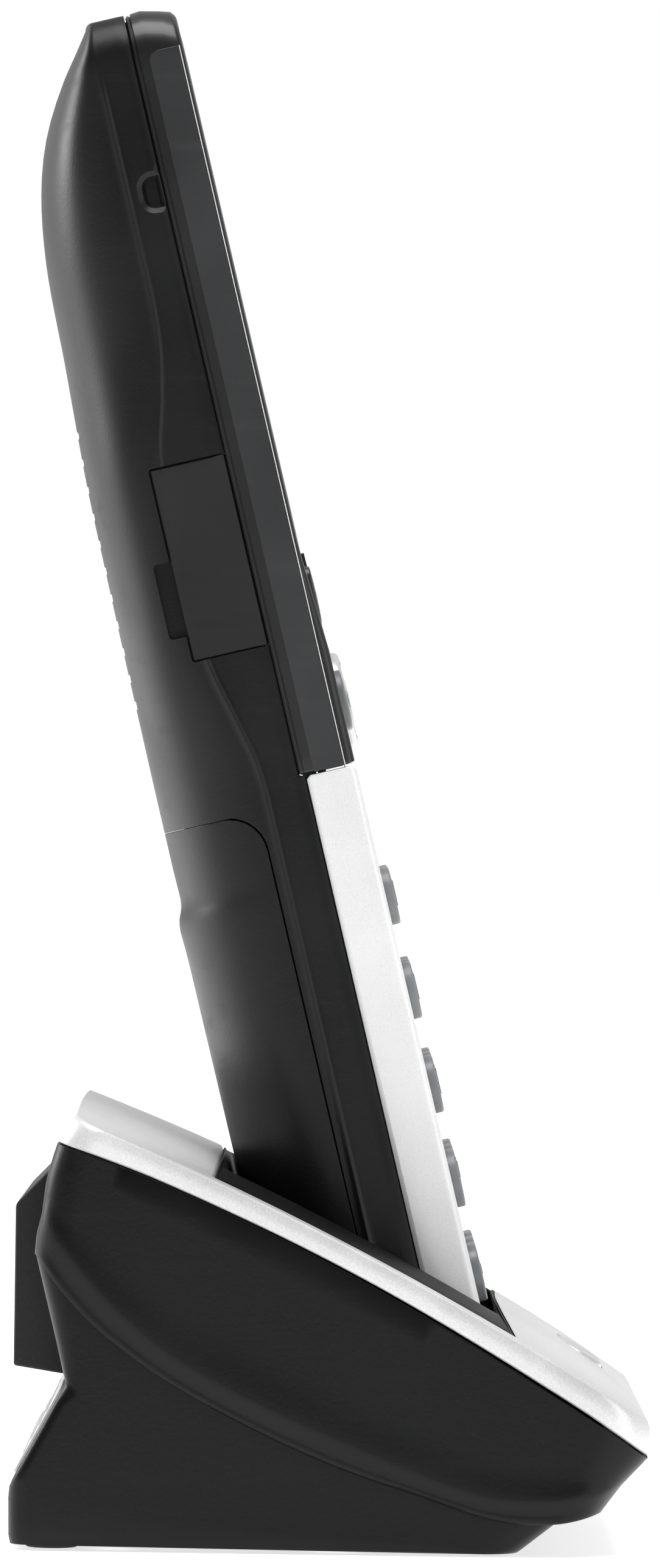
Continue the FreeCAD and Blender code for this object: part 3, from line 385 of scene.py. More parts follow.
screw_steel = worn_metal("screw_steel", (0.36, 0.36, 0.37), (0.52, 0.52, 0.53), (0.25, 0.4))
speaker_metal = worn_metal("speaker_metal", (0.30, 0.30, 0.31), (0.42, 0.42, 0.43), (0.3, 0.45))


# ======================= handset: rear case =======================

LENGTH = 168.0
HALF = 24.0
SPLIT = 76.4
TOP_CORNER = 5.5
FOOT_CORNER = 7.0
BACK_POWER = 2.5
COVER_TOP = 73.3
COVER_EDGE = 6.5
COVER_CORNER = 4.5
COVER_FOOT = 4.2
# height, crown depth and crease depth of the back
BACK = np.array([(0.0, 18.6, 5.2), (58.0, 18.87, 5.2), (62.6, 18.9, 5.2), (64.4, 18.24, 5.2),
                 (68.0, 18.2, 5.2), (79.0, 18.2, 5.5), (84.0, 18.18, 6.6), (92.0, 18.15, 8.4),
                 (104.0, 18.05, 8.9),
                 (116.0, 17.9, 8.6), (124.0, 17.55, 6.6), (130.0, 17.25, 5.5), (143.8, 16.6, 5.2),
                 (152.2, 15.1, 5.2), (157.7, 13.1, 5.2), (162.8, 10.05, 5.2), (166.0, 7.5, 4.9),
                 (168.0, 5.9, 4.6)])
CREASE_RIDGE = 0.3
CREASE_WIDTH = 0.32
FLAP_TOP = 52.8                 # below the handset's top
FLAP_HALF = 11.45
CROWN_RISE = 0.6                # the top edge's highest point above the nominal length
SEAM_EASE = 0.35                # how far the rear case's edge is drawn in at the seam
THUMB_STEP = [61.5, 62.3, 63.0, 63.7, 64.4, 65.2]


def quarter_loss(past, radius):
    """What a quarter circle takes off a straight side at a distance past its start."""
    return radius - np.sqrt(radius ** 2 - np.clip(past, 0, radius - 0.01) ** 2)


def half_width(z, inset=0.0):
    """Half width at a height: full, less the quarter circles at the top and foot corners."""
    top_loss = quarter_loss(z - (LENGTH + CROWN_RISE - TOP_CORNER), TOP_CORNER)
    return HALF - inset - (top_loss + quarter_loss(FOOT_CORNER - z, FOOT_CORNER))


def back_lines(z, inset=0.0):
    """Crown and crease depth at a height, from the stations by Hermite curves, drawn in by inset."""
    crown = curve_through(BACK[:, 0], BACK[:, 1], z)
    return crown - inset, curve_through(BACK[:, 0], BACK[:, 2], z)


def back_point(z, y, inset=0.0):
    """Half breadth of the back at height z and depth y: flat band to the crease, superellipse behind it,
    and a low rounded ridge along the crease."""
    crown, crease = back_lines(z, inset)
    share = np.clip((y - crease) / np.maximum(crown - crease, 0.05), 0, 1)
    width = half_width(z, inset) * (1 - share ** BACK_POWER) ** (1 / BACK_POWER)
    fade = np.clip((LENGTH - 3 - z) / 6, 0, 1)
    return width + CREASE_RIDGE * fade * np.exp(-((y - crease) / CREASE_WIDTH) ** 2)


def back_section(z, seam, inset=0.0, band=5, curve=26):
    """Points across a section at each height: the band, close lines over the crease, then points on the
    superellipse by equal angles. Returns x and y by height and point, from one seam to the other."""
    crown, crease = back_lines(z, inset)
    deep = np.minimum(1, (crown - crease) / 4)[:, None]
    near = np.array([-0.9, -0.55, -0.3, -0.12, 0.0, 0.12, 0.3, 0.55, 0.9])[None] * deep + crease[:, None]
    flat = seam[:, None] + (near[:, :1] - seam[:, None]) * np.linspace(0, 1, band + 1)[None, :-1]
    first = np.clip((near[:, -1:] - crease[:, None]) / (crown - crease)[:, None], 0, 1) ** (BACK_POWER / 2)
    angle = np.arcsin(first) + (np.pi / 2 - np.arcsin(first)) * np.linspace(0, 1, curve + 1)[1:]
    depth = crease[:, None] + (crown - crease)[:, None] * np.sin(angle) ** (2 / BACK_POWER)
    y = np.concatenate([flat, near, depth], 1)
    x = back_point(z[:, None], y, np.broadcast_to(inset, z.shape)[:, None])
    return np.concatenate([-x, x[:, -2::-1]], 1), np.concatenate([y, y[:, -2::-1]], 1)


def corner_heights(step):
    """Heights from foot to top: by equal angles round the foot and top corners, and even steps between,
    with extra lines at the split and the thumb step."""
    foot = FOOT_CORNER * (1 - np.cos(np.linspace(0.12, np.pi / 2, 8)))
    top = LENGTH + CROWN_RISE - TOP_CORNER + TOP_CORNER * np.sin(np.linspace(0, np.arcsin(0.93), 10))
    middle = np.arange(foot[-1] + step, top[0] - 0.5 * step, step)
    extra = [SPLIT - 0.1, SPLIT + 0.1] + THUMB_STEP
    return np.unique(np.round(np.concatenate([[0.0], foot, middle, extra, top]), 3))


def rear_shell(inset, z, seam_lift=0.0, reach=None):
    """Closed volume of the rear case: its sections, each closed straight across at the seam's depth."""
    seam = np.where(z > SPLIT, 0.95, 0.3) + seam_lift
    if reach is not None:
        seam = np.full_like(z, reach)
    x, y = back_section(z, seam, inset)
    if reach is None:
        x = x * (1 - np.where(y <= seam[:, None] + 1e-6, SEAM_EASE / HALF, 0))
    back = np.linspace(1, 0, 14)[1:-1]
    floor_x = x[:, -1:] * back + x[:, :1] * (1 - back)
    floor_y = np.broadcast_to(seam[:, None], floor_x.shape)
    return stacked(docked(np.concatenate([x, floor_x], 1), np.concatenate([y, floor_y], 1), z[:, None]))


def block(x0, x1, y0, y1, z0, z1, frame_of=docked):
    """Rectangular cutter between the given limits."""
    loop = np.array([(x0, y0), (x1, y0), (x1, y1), (x0, y1)], float)
    rings = np.stack([frame_of(loop[:, 0], loop[:, 1], z) for z in (z0, z1)])
    return stacked(rings)


def front_plate(x, z, width, height, radius, stops, corner=8, side=(6, 6), frame_of=docked):
    """Rounded plate facing the front: loops about (x, z) drawn in by each stop's inset at its depth."""
    rings = []
    for inset, y in stops:
        loop = rounded_loop(x - width / 2 + inset, x + width / 2 - inset, z - height / 2 + inset,
                            z + height / 2 - inset, [max(radius - inset, 0.02)] * 4, corner, side)
        rings.append(frame_of(loop[:, 0], y, loop[:, 1]))
    return stacked(np.stack(rings))


def side_plate(y, z, x_stops, half_y, half_z, radii, corner=6, side=(4, 4)):
    """Rounded plate facing the side: loops about (y, z), drawn in by each stop's inset at its x."""
    rings = []
    for inset, x in x_stops:
        loop = rounded_loop(y - half_y + inset, y + half_y - inset, z - half_z + inset, z + half_z - inset,
                            np.maximum(np.asarray(radii) - inset, 0.02), corner, side)
        rings.append(docked(x, loop[:, 0], loop[:, 1]))
    return stacked(np.stack(rings))


def mirror_x(surface):
    """The same surface on the other side, its faces turned to point outwards."""
    points, quads, tris = surface
    return points * np.array([-1.0, 1.0, 1.0]), quads[:, ::-1], tris[:, ::-1]


def cover_edge_line(z, gap):
    """Depth of the battery cover's front edge: straight, then a quarter circle into its top edge."""
    radius = COVER_CORNER + gap
    high = np.clip(z - (COVER_TOP - COVER_CORNER), 0, radius)
    return COVER_EDGE - gap + radius - np.sqrt(np.maximum(radius ** 2 - high ** 2, 0))


def cover_patch(z, gap, inset, columns=44):
    """Grid over the back behind the cover's edge: depth by equal angles from the edge over the crown."""
    crown, crease = back_lines(z, inset)
    edge = cover_edge_line(z, gap)
    start = np.clip((edge - crease) / (crown - crease), 0.02, 1) ** (BACK_POWER / 2)
    angle = np.linspace(np.arcsin(start), np.pi / 2, columns // 2, axis=1)
    y = crease[:, None] + (crown - crease)[:, None] * np.sin(angle) ** (2 / BACK_POWER)
    share = (y - crease[:, None]) / (crown - crease)[:, None]
    x = half_width(z[:, None], inset) * np.maximum(1 - share ** BACK_POWER, 0) ** (1 / BACK_POWER)
    x = np.concatenate([-x, x[:, -2::-1]], 1)
    y = np.concatenate([y, y[:, -2::-1]], 1)
    return docked(x, y, z[:, None])


def cover_heights(foot, top):
    """Heights of the battery cover's lines, closer at the rounded top corners and the thumb step."""
    turn = np.sin(np.linspace(0, np.pi / 2, 8)) * COVER_CORNER + COVER_TOP - COVER_CORNER
    z = np.concatenate([np.arange(foot, 68, 2.2), THUMB_STEP, turn, [foot, top]])
    return np.unique(np.round(z[(z >= foot) & (z <= top)], 3))


def down(distance):
    """Height of a place at a distance below the handset's top."""
    return LENGTH - distance


def make_rear_case():
    """Rear case: the outer volume less cavity, cover seat, battery bay, slots, notches and flap pocket."""
    outer = [rear_shell(0.0, corner_heights(2.0))]
    inner_z = np.linspace(2.2, 164.5, 60)
    cavity_inset = np.interp(inner_z, [74.0, 77.0], [3.9, 2.0])
    cutters = [rear_shell(cavity_inset, inner_z, reach=-1.0)]
    seat_z = np.concatenate([[-1.0], cover_heights(1.0, COVER_TOP), [COVER_TOP + 0.07]])
    seat_z = np.unique(np.round(seat_z, 3))
    cutters.append(slab(cover_patch(seat_z, 0.2, -1.5), cover_patch(seat_z, 0.2, 2.4)))
    cutters.append(block(-16.2, 16.2, 4.4, 24.0, 15.8, 64.6))
    for slot in range(11):
        z = down(46.0 + 3.3 * slot)
        cutters.append(front_plate(0, z, 16.0, 1.1, 0.5, [(0, 12.5), (0, 24.0)], 5, (4, 1)))
    notch = side_plate(2.25, down(18.7 + 2.35), [(-0.6, -25.0), (-0.6, -24.0), (0.0, -23.6), (0.0, -23.1),
                                                 (0.4, -22.7)], 1.15, 1.9, [0.1, 1.3, 1.3, 0.1])
    cutters += [notch, mirror_x(notch)]
    for y, z, stops, half_y, half_z, radii in (
            (5.45, down(FLAP_TOP + FLAP_HALF), (-26.0, -22.55), 4.65, 11.6, [0.4] * 4),
            (10.95, down(63.7 + 4.5), (-26.0, -22.4), 1.15, 4.5, [0.3, 0.5, 0.5, 0.3]),
            (5.35, down(63.0), (-23.5, -17.0), 2.7, 2.7, [2.69] * 4)):
        cutters.append(side_plate(y, z, [(0, x) for x in stops], half_y, half_z, radii))
    for side in (-1, 1):
        cutters.append(front_plate(side * 10.0, 69.3, 5.2, 5.2, 2.59, [(0, 11.0), (0, 20.0)]))
        cutters.append(block(side * 13.0 - 3.1, side * 13.0 + 3.1, 2.9, 7.1, -1.0, 3.0))
    place("rear_case_shell", carved(outer, cutters), handset_black, "handset", ["rear_case"])


def make_battery_cover():
    """Battery cover: the back's surface behind its edge, 1.5 mm thick, with eased edges."""
    z = cover_heights(COVER_FOOT, COVER_TOP)
    skin = [slab(cover_patch(z, 0.0, 0.0), cover_patch(z, 0.0, 1.5))]
    place("battery_cover_skin", skin, cover_black, "battery_cover",
          ["battery_cover"], 0.22)


def make_flap():
    """Headset flap: a soft panel on the left side that follows the case's band, with a slightly pillowed
    face.
    """
    z = np.linspace(down(FLAP_TOP + 2 * FLAP_HALF), down(FLAP_TOP), 24)
    y = np.linspace(1.05, 9.9, 12)
    zz, yy = np.meshgrid(z, y, indexing="ij")
    outside = back_point(zz, yy) - 0.02
    pillow = 0.10 * (1 - ((yy - 5.5) / 4.45) ** 4) * (1 - ((zz - z.mean()) / FLAP_HALF) ** 8)
    outer = docked(-outside - pillow + 0.10, yy, zz)
    inner = docked(-outside + 1.25, yy, zz)
    place("headset_flap_skin", [slab(outer, inner)], flap_rubber,
          "headset_flap", ["headset_flap"], 0.18)


# ======================= handset: front =======================

LENS_FACE = 5.1
LENS_FOOT = 102.5
LENS_MIDDLE = 133.65
FACE_INSETS = (3.0, 7.0, 12.0, 18.0, 21.5, 23.9)
COLUMN = 14.4                   # from one column of keys to the next
SOFT_ROW = 96.8
RING_ROW = 84.0
SIDE_KEY = 15.6


def face_depth(z):
    """Depth of the front face: the lens plane, a ramp below the lens, then the key plane."""
    return -LENS_FACE - (KEY_FACE - LENS_FACE) * np.clip((LENS_FOOT - z) / 12.5, 0, 1)


def front_rings(z_low, z_top_at, side_stops, face_insets, turn_from, radii, roll=0.95):
    """Rings of a front shell: side stops (inset, depth), a quarter-round from the side into the face, and
    rings across the face. A ring's top follows the top profile at its depth."""
    rings = []
    foot_draw = 1.0 if radii[0] > 1 else 0.2

    def ring(inset, high, depth_of):
        """Adds a loop drawn in by inset, its top at high, each point at the depth for its height."""
        loop = rounded_loop(-HALF + inset, HALF - inset, z_low + inset * foot_draw, high - inset,
                            np.maximum(np.array(radii) - inset, 0.05), 10, (10, 44))
        rings.append(docked(loop[:, 0], depth_of(loop[:, 1]), loop[:, 1]))

    for inset, depth in side_stops:
        ring(inset, z_top_at(depth), lambda z, d=depth: d)
    face_top = z_top_at(-LENS_FACE)
    for turn in np.radians([25.0, 50.0, 72.0, 90.0]):
        ring(roll * (1 - math.cos(turn)), face_top,
             lambda z, share=math.sin(turn): turn_from + (face_depth(z) - turn_from) * share)
    for inset in face_insets:
        ring(inset, face_top, face_depth)
    return stacked(np.stack(rings))


TOP_DEPTHS = (-0.75, -0.3, 0.0, 0.5, 1.2, 3.5, 5.1)
TOP_HEIGHTS = (168.15, 168.3, 168.5, 168.58, 168.45, 167.9, 167.4)


def top_profile(depth):
    """Height of the handset's top edge by depth: rounded over the seam, falling to the lens."""
    return float(np.interp(-depth, TOP_DEPTHS, TOP_HEIGHTS))


def bezel_top(depth):
    """Height of the silver bezel's top edge, the same at every depth."""
    return SPLIT - 0.15


def key_hole(x, z, width, height, radius):
    """Hole for a key, a quarter millimetre clear of it all round."""
    return front_plate(x, z, width + 0.5, height + 0.5, radius, [(0, -2.0), (0, -9.0)])


def make_front_case():
    """Black front shell above the split: round side, lip and groove at the seam, lens seat and key holes."""
    stops = [(3.1, 2.6), (2.1, 2.6), (1.2, 1.5), (0.7, 1.12), (0.55, 0.80), (0.16, 0.80), (0.0, 0.66),
             (0.0, 0.40), (0.22, 0.36), (0.22, 0.22), (0.0, 0.18), (0.0, -1.0), (0.0, -1.9), (0.0, -3.2),
             (0.0, -4.5)]
    radii = (0.3, 0.3, TOP_CORNER, TOP_CORNER)
    shell = front_rings(SPLIT + 0.15, top_profile, stops, FACE_INSETS, -4.5, radii)
    cutters = [front_plate(0, 134.5, 41.4, 60.0, 6.0, [(0, 2.0), (0, -3.0)], 6, (8, 20)),
               front_plate(0, 88.6, 41.4, 24.4, 3.0, [(0, 2.0), (0, -4.3)], 6, (8, 12)),
               front_plate(0, LENS_MIDDLE, 45.05, 62.55, 6.6, [(0, -3.85), (0, -8.0)], 8, (8, 12))]
    cutters += [key_hole(x, SOFT_ROW, 11.0, 7.0, 1.8) for x in (-COLUMN, 0.0, COLUMN)]
    cutters += [key_hole(x, RING_ROW, 8.2, 7.2, 3.4) for x in (-SIDE_KEY, SIDE_KEY)]
    cutters.append(front_plate(0, RING_ROW, 18.6, 12.4, 6.19, [(0, -2.0), (0, -9.0)], 12))
    place("front_case_shell", carved([shell], cutters), front_black, "handset", ["front_case"])


def side_reach(z, y):
    """Half breadth of the front shell at height z and depth y: its top corner sinks with the top profile."""
    top = np.interp(-y, TOP_DEPTHS, TOP_HEIGHTS)
    return HALF - quarter_loss(z - (top - TOP_CORNER), TOP_CORNER)


def make_side_trims():
    """Grey side panels: a thin plate that follows the side to the top, its rear top corner rounded."""
    z = np.concatenate([np.linspace(SPLIT + 0.1, 160.5, 30), np.linspace(161.2, down(4.9), 12)])
    rear = -0.9 - (1.1 - np.sqrt(np.maximum(1.1 ** 2 - np.clip(z - (down(4.9) - 1.1), 0, 1.1) ** 2, 0)))
    across = np.linspace(0, 1, 7)
    y = rear[:, None] * (1 - across) + -4.52 * across
    width = side_reach(z[:, None], y)
    panel = slab(docked(-width - 0.05, y, z[:, None]), docked(-width + 0.42, y, z[:, None]))
    place("side_trim_panels", [panel, mirror_x(panel)], trim_grey, "handset",
          ["side_trims"], 0.07)


def make_lens_edge_highlight_strip():
    """Thin silver edge beside the lens, partly a painted highlight for the light on the lens edge: a strip of
    constant width that follows the side to the top corner.
    """
    z = np.linspace(SPLIT - 0.12, down(4.9), 40)[:, None]
    y = np.array([-4.60, -4.63, -4.68, -4.71])
    width = side_reach(z, y) + np.array([0.0, 0.04, 0.04, 0.0])
    strip = slab(docked(-width, y, z), docked(-width + 0.6, y, z))
    # the bright silver strip is partly a painted highlight, standing in for the light caught on the lens edge
    place("lens_edge_highlight_lines", [strip, mirror_x(strip)], silver_bezel, "handset")


def dial_grid():
    """Names and places of the fifteen dial and function keys, from the lowest row up."""
    rows = (("flash_key", "mute_key", "speaker_key"), ("dial_star", "dial_0", "dial_hash"),
            ("dial_7", "dial_8", "dial_9"), ("dial_4", "dial_5", "dial_6"), ("dial_1", "dial_2", "dial_3"))
    return [(name, (column - 1) * COLUMN, 14.6 + 11.4 * row)
            for row, names in enumerate(rows) for column, name in enumerate(names)]


def make_bezel():
    """Silver front below the split: chamfered rear edge, flat side, quarter-round to the key face, holes."""
    stops = [(1.6, 0.1), (0.42, 0.1), (0.34, 0.02), (0.04, -0.36), (0.0, -0.46), (0.0, -2.5), (0.0, -4.9)]
    shell = front_rings(0.0, bezel_top, stops, FACE_INSETS, -4.9, (FOOT_CORNER, FOOT_CORNER, 0.3, 0.3), 0.9)
    cutters = [front_plate(0, 39.5, 41.4, 72.4, 4.0, [(0, 2.0), (0, -4.35)], 6, (8, 20)),
               front_plate(0, 5.4, 1.4, 1.4, 0.69, [(0, -2.0), (0, -8.0)], 5, (1, 1))]
    cutters += [key_hole(x, z, 12.0, 6.8, 3.2) for _, x, z in dial_grid()]
    place("keypad_bezel_shell", carved([shell], cutters), silver_bezel, "handset",
          ["keypad_bezel"])


def make_lens():
    """Glossy lens with eased edges and a shallow window for the display, which lies in it as a clear pane."""
    stops = [(0.15, -3.95), (0.0, -4.1), (0.0, -5.0), (0.12, -5.13), (0.4, -5.18), (1.0, -5.2), (6.0, -5.2),
             (14.0, -5.2)]
    lens = front_plate(0, LENS_MIDDLE, 44.8, 62.3, 6.5, stops, 10, (8, 12))
    cutters = [front_plate(0, down(41.5), 36.2, 27.2, 1.1, [(0, -5.0), (0, -7.0)], 6, (4, 4)),
               front_plate(0, down(12.0), 12.2, 2.4, 1.19, [(0, -3.0), (0, -7.0)], 8, (4, 1))]
    place("display_lens_glass", carved([lens], cutters), lens_black, "handset",
          ["display_lens"])
    stops = [(0.0, -4.98), (0.0, -5.1), (0.08, -5.15), (4.0, -5.15)]
    pane = front_plate(0, down(41.5), 36.0, 27.0, 1.0, stops, 6, (4, 4))
    place("display_pane", [pane], display_grey, "handset")
    bars = [(-15.2 + column * 1.3, down(31.4) - 1.8 + height / 2, 0.8, height, 0.15)
            for column, height in enumerate((1.2, 2.0, 2.8, 3.6))]
    bars += [(0, down(47.0 + row * 2.6), 30.0, 0.35, 0.1) for row in range(3)]
    marks = [front_plate(*bar, [(0, -5.13), (0, -5.17)], 3, (1, 1)) for bar in bars]
    place("display_marks", marks, legend_black, "handset")
    figures("display_clock", "12:00", 0.0, down(41.0), 7.5, -5.15, legend_black, "handset")


# ======================= handset: keys =======================

def figures(name, words, x, z, size, depth, finish, body):
    """Flat raised figures facing the front, drawn as type, made a mesh, then laid on the key."""
    curve = bpy.data.curves.new(name + "_type", "FONT")
    curve.body = words
    curve.size = size
    curve.extrude = 0.04
    curve.align_x = "CENTER"
    curve.align_y = "CENTER"
    curve.resolution_u = 4
    drawn = put_in_scene(name + "_drawn", curve)
    graph = bpy.context.evaluated_depsgraph_get()
    mesh = bpy.data.meshes.new_from_object(drawn.evaluated_get(graph))
    bpy.data.objects.remove(drawn)
    bpy.data.curves.remove(curve)
    flat = np.zeros(len(mesh.vertices) * 3)
    mesh.vertices.foreach_get("co", flat)
    flat = flat.reshape(-1, 3)
    mesh.vertices.foreach_set("co", (docked(x + flat[:, 0], depth - flat[:, 2], z + flat[:, 1]) * MM).ravel())
    return place(name, mesh, finish, body)


def keycap(x, z, width, height, radius, face, dome=0.06, roll=0.28, flange=0.6, flange_face=4.1):
    """Key: a flange behind the face, straight sides, a quarter-round edge, a top that rises to the middle."""
    stops = [(-flange, -3.15), (-flange, -flange_face), (0.0, -flange_face - 0.02), (0.0, -face + roll)]
    for turn in np.radians([30, 55, 75, 90]):
        stops.append((roll * (1 - math.cos(turn)), -face + roll * (1 - math.sin(turn))))
    deepest = min(width, height) / 2
    stops += [(roll + (deepest - roll) * s, -face - dome * (1 - (1 - s) ** 2)) for s in (0.2, 0.45, 0.7, 0.9)]
    return front_plate(x, z, width, height, radius, stops, 9, (6, 3))


def make_keys():
    """All keys of the handset, each on its own body, with generic figures on the dial."""
    faces = {"dial_star": "*", "dial_hash": "#", "flash_key": "<", "mute_key": "x", "speaker_key": ">"}
    for name, x, z in dial_grid():
        cap = keycap(x, z, 12.0, 6.8, 2.9, 6.9)
        function_key = name.endswith("_key")
        place(name + "_cap", [cap], key_grey, name, [name])
        figures(name + "_figure", faces.get(name, name[-1]), x, z, 2.6 if function_key else 4.4, -7.0,
                legend_black, name)
    for name, x in (("soft_key_left", -COLUMN), ("soft_key_middle", 0.0), ("soft_key_right", COLUMN)):
        cap = keycap(x, SOFT_ROW, 11.0, 7.0, 1.6, 5.79, 0.1)
        place(name + "_cap", [cap], soft_key_black, name, [name])
        bar = front_plate(x, SOFT_ROW, 5.0, 0.7, 0.3, [(0, -5.85), (0, -5.93)], 4, (2, 1))
        place(name + "_bar", [bar], legend_white, name)
    for name, x, tint in (("talk_key", -SIDE_KEY, legend_green), ("off_key", SIDE_KEY, legend_red)):
        cap = keycap(x, RING_ROW, 8.2, 7.2, 3.2, 6.55, 0.15)
        place(name + "_cap", [cap], side_key_grey, name, [name])
        mark = front_plate(x, RING_ROW, 3.2, 1.1, 0.5, [(0, -6.6), (0, -6.73)], 5, (2, 1))
        place(name + "_mark", [mark], tint, name)
    ring_cap = keycap(0.0, RING_ROW, 18.0, 11.8, 5.85, 6.8, 0.0, 0.7, 0.5, 3.6)
    hole = front_plate(0.0, RING_ROW, 6.5, 6.5, 3.24, [(0, -2.0), (0, -9.0)], 12, (1, 1))
    place("navigation_ring_cap", carved([ring_cap], [hole]), silver_key,
          "navigation_ring", ["navigation_ring"])
    marks = [front_plate(dx, RING_ROW + dz, w, h, 0.2, [(0, -6.7), (0, -6.86)], 3, (1, 1))
             for dx, dz, w, h in ((0, 4.5, 2.0, 0.5), (0, -4.5, 2.0, 0.5), (-6.6, 0, 0.5, 2.0),
                                  (6.6, 0, 0.5, 2.0))]
    place("navigation_marks", marks, legend_black, "navigation_ring")
    select = keycap(0.0, RING_ROW, 6.0, 6.0, 2.99, 6.9, 0.1, 0.6, 0.0)
    place("select_key_cap", [select], silver_key, "select_key",
          ["select_key"])


# ======================= base =======================

BASE_HALF = 42.0
FRONT_CORNER = 6.0
REAR_CORNER = 4.0
OPENING_HALF = 39.85
DECK_REAR = (30.0, 50.1)
DECK_FRONT = (-36.2, 16.4)
DECK_BOW = 1.8
POCKET_SIDE = 25.0
POCKET_REAR = 19.4
POCKET_FRONT = -7.45
FLANGE_REAR = 20.9
FLANGE_FRONT = -8.9
FRONT_BOW = 1.15
REAR_BOW = 0.95


def deck_edge(y):
    """Height of the deck's side edge: a straight fall with a bow, DECK_BOW high at its middle."""
    t = (y - DECK_FRONT[0]) / (DECK_REAR[0] - DECK_FRONT[0])
    t = np.clip(t, -0.02, 1.05)
    return DECK_FRONT[1] + (DECK_REAR[1] - DECK_FRONT[1]) * t + 4 * DECK_BOW * t * (1 - t)


def deck_surface(x, y):
    """Height of the deck: its edge plus a crown across the width that fades out at the nose."""
    crown = curve_through([-37.2, -36.2, -34.5, -31.0, -18.0, 0.0, 12.0, 30.0],
                          [0, 0.05, 0.6, 1.25, 1.75, 1.95, 1.95, 1.45], y)
    return deck_edge(y) + crown * (1 - np.clip(np.abs(x) / BASE_HALF, 0, 1) ** 2.6)


def rim_foot_line(y):
    """Height of the line under the silver rim, by a Hermite curve from the chin to the rear."""
    return curve_through([-36.9, -33.0, -28.0, -3.8, 20.0, 28.0, 32.0],
                         [11.6, 14.5, 17.8, 31.9, 43.0, 46.0, 47.3], y)


def upper_crease_line(y):
    """Height of the rolled edge's upper line, by a Hermite curve from front to rear."""
    return curve_through([-33.8, -31.0, -28.0, -24.2, -19.3, -15.4, -10.5, -0.8, 9.0, 14.0, 18.8, 22.2, 26.1,
                          30.1, 33.6],
                         [8.3, 7.5, 6.9, 6.5, 6.7, 7.6, 9.35, 13.2, 17.5, 20.1, 23.0, 25.6, 29.2,
                          33.9, 39.0], y)


def lower_crease_line(y):
    """Height of the rolled edge's lower line, by a Hermite curve from front to rear."""
    return curve_through([-31.4, -29.0, -26.6, -22.7, -17.9, -10.5, -0.8, 8.9, 18.7, 23.7, 27.6, 31.0, 34.5],
                         [5.0, 4.4, 4.0, 3.9, 4.6, 7.0, 10.2, 14.4, 19.6, 23.0, 26.1, 29.6, 34.1], y)


def plan_loop(half, front, rear, front_radius=FRONT_CORNER, rear_radius=REAR_CORNER):
    """The base's plan at a level: a rectangle with round corners, larger at the front."""
    return rounded_loop(-half, half, front, rear, [front_radius, front_radius, rear_radius, rear_radius],
                        14, (14, 40))


def onto_deck(x, y_local, lift=0.0):
    """Points of the leaning plane y = y_local on the deck, found by repeated substitution."""
    y_local = y_local + 0 * x
    along = np.full_like(x, 20.0)
    for _ in range(12):
        depth = y_local * LEAN_COS + along * LEAN_SIN + DOCK_Y
        along = (deck_surface(x, depth) + lift - DOCK_Z + y_local * LEAN_SIN) / LEAN_COS
    return docked(x, y_local, along)


def bowed(loop):
    """The opening's loop with its front and rear sides curved inwards to the middle by a parabola."""
    x, y = loop.T
    middle = 1 - np.clip(np.abs(x) / OPENING_HALF, 0, 1) ** 2
    share = (y - FLANGE_FRONT) / (FLANGE_REAR - FLANGE_FRONT)
    return np.stack([x, y + middle * (FRONT_BOW * (1 - share) - REAR_BOW * share)], 1)


def make_top_cover():
    """Silver cover: foot, upright rim, rounded edge, crowned deck in to the opening, and the underside."""
    def level(half, front, rear, height, rf=FRONT_CORNER, rr=REAR_CORNER):
        """Plan loop with each point at the height worked out from its x and y."""
        loop = plan_loop(half, front, rear, rf, rr)
        return plain(loop[:, 0], loop[:, 1], height(loop[:, 0], loop[:, 1]))

    def mixed(share):
        """Height rule at a share of the way from the rim's foot line to the deck's edge."""
        return lambda x, y: rim_foot_line(y) * (1 - share) + deck_edge(y) * share

    outer = [level(41.6, -36.7, 31.8, mixed(0.0), 5.6, 3.6), level(42.0, -37.1, 32.0, mixed(0.06)),
             level(42.0, -37.2, 31.3, mixed(0.4)), level(42.0, -37.1, 30.6, mixed(0.78)),
             level(41.85, -36.8, 30.3, mixed(0.93), 5.9, 3.9),
             level(41.55, -36.5, 30.1, mixed(1.0), 5.6, 3.6)]
    edge = plan_loop(41.2, -36.1, 29.8, 5.3, 3.4)
    opening = bowed(rounded_loop(-OPENING_HALF - 0.2, OPENING_HALF + 0.2, FLANGE_FRONT - 0.15,
                                 FLANGE_REAR + 0.15, [0.6] * 4, 14, (14, 40)))
    mouth = onto_deck(opening[:, 0], opening[:, 1])
    deck = []
    for share in (0.0, 0.04, 0.12, 0.28, 0.5, 0.75, 0.93, 0.99, 1.0):
        x = edge[:, 0] * (1 - share) + mouth[:, 0] * share
        y = edge[:, 1] * (1 - share) + mouth[:, 1] * share
        deck.append(plain(x, y, deck_surface(x, y) - (0.12 if share == 1.0 else 0.0)))
    under = onto_deck(opening[:, 0], opening[:, 1], -1.8)
    inner = level(40.1, -35.3, 29.8, lambda x, y: rim_foot_line(y) + 1.0, 4.4, 2.2)
    foot = level(40.3, -35.5, 30.0, lambda x, y: rim_foot_line(y) + 0.1, 4.5, 2.4)
    shell = hooped(np.stack(outer + deck + [under, inner, foot]))
    button_hole = page_plate([(-0.3, -6.0), (-0.3, 4.0)])
    place("base_top_cover_shell", carved([shell], [button_hole]), silver_cover, "base",
          ["base_top_cover"])


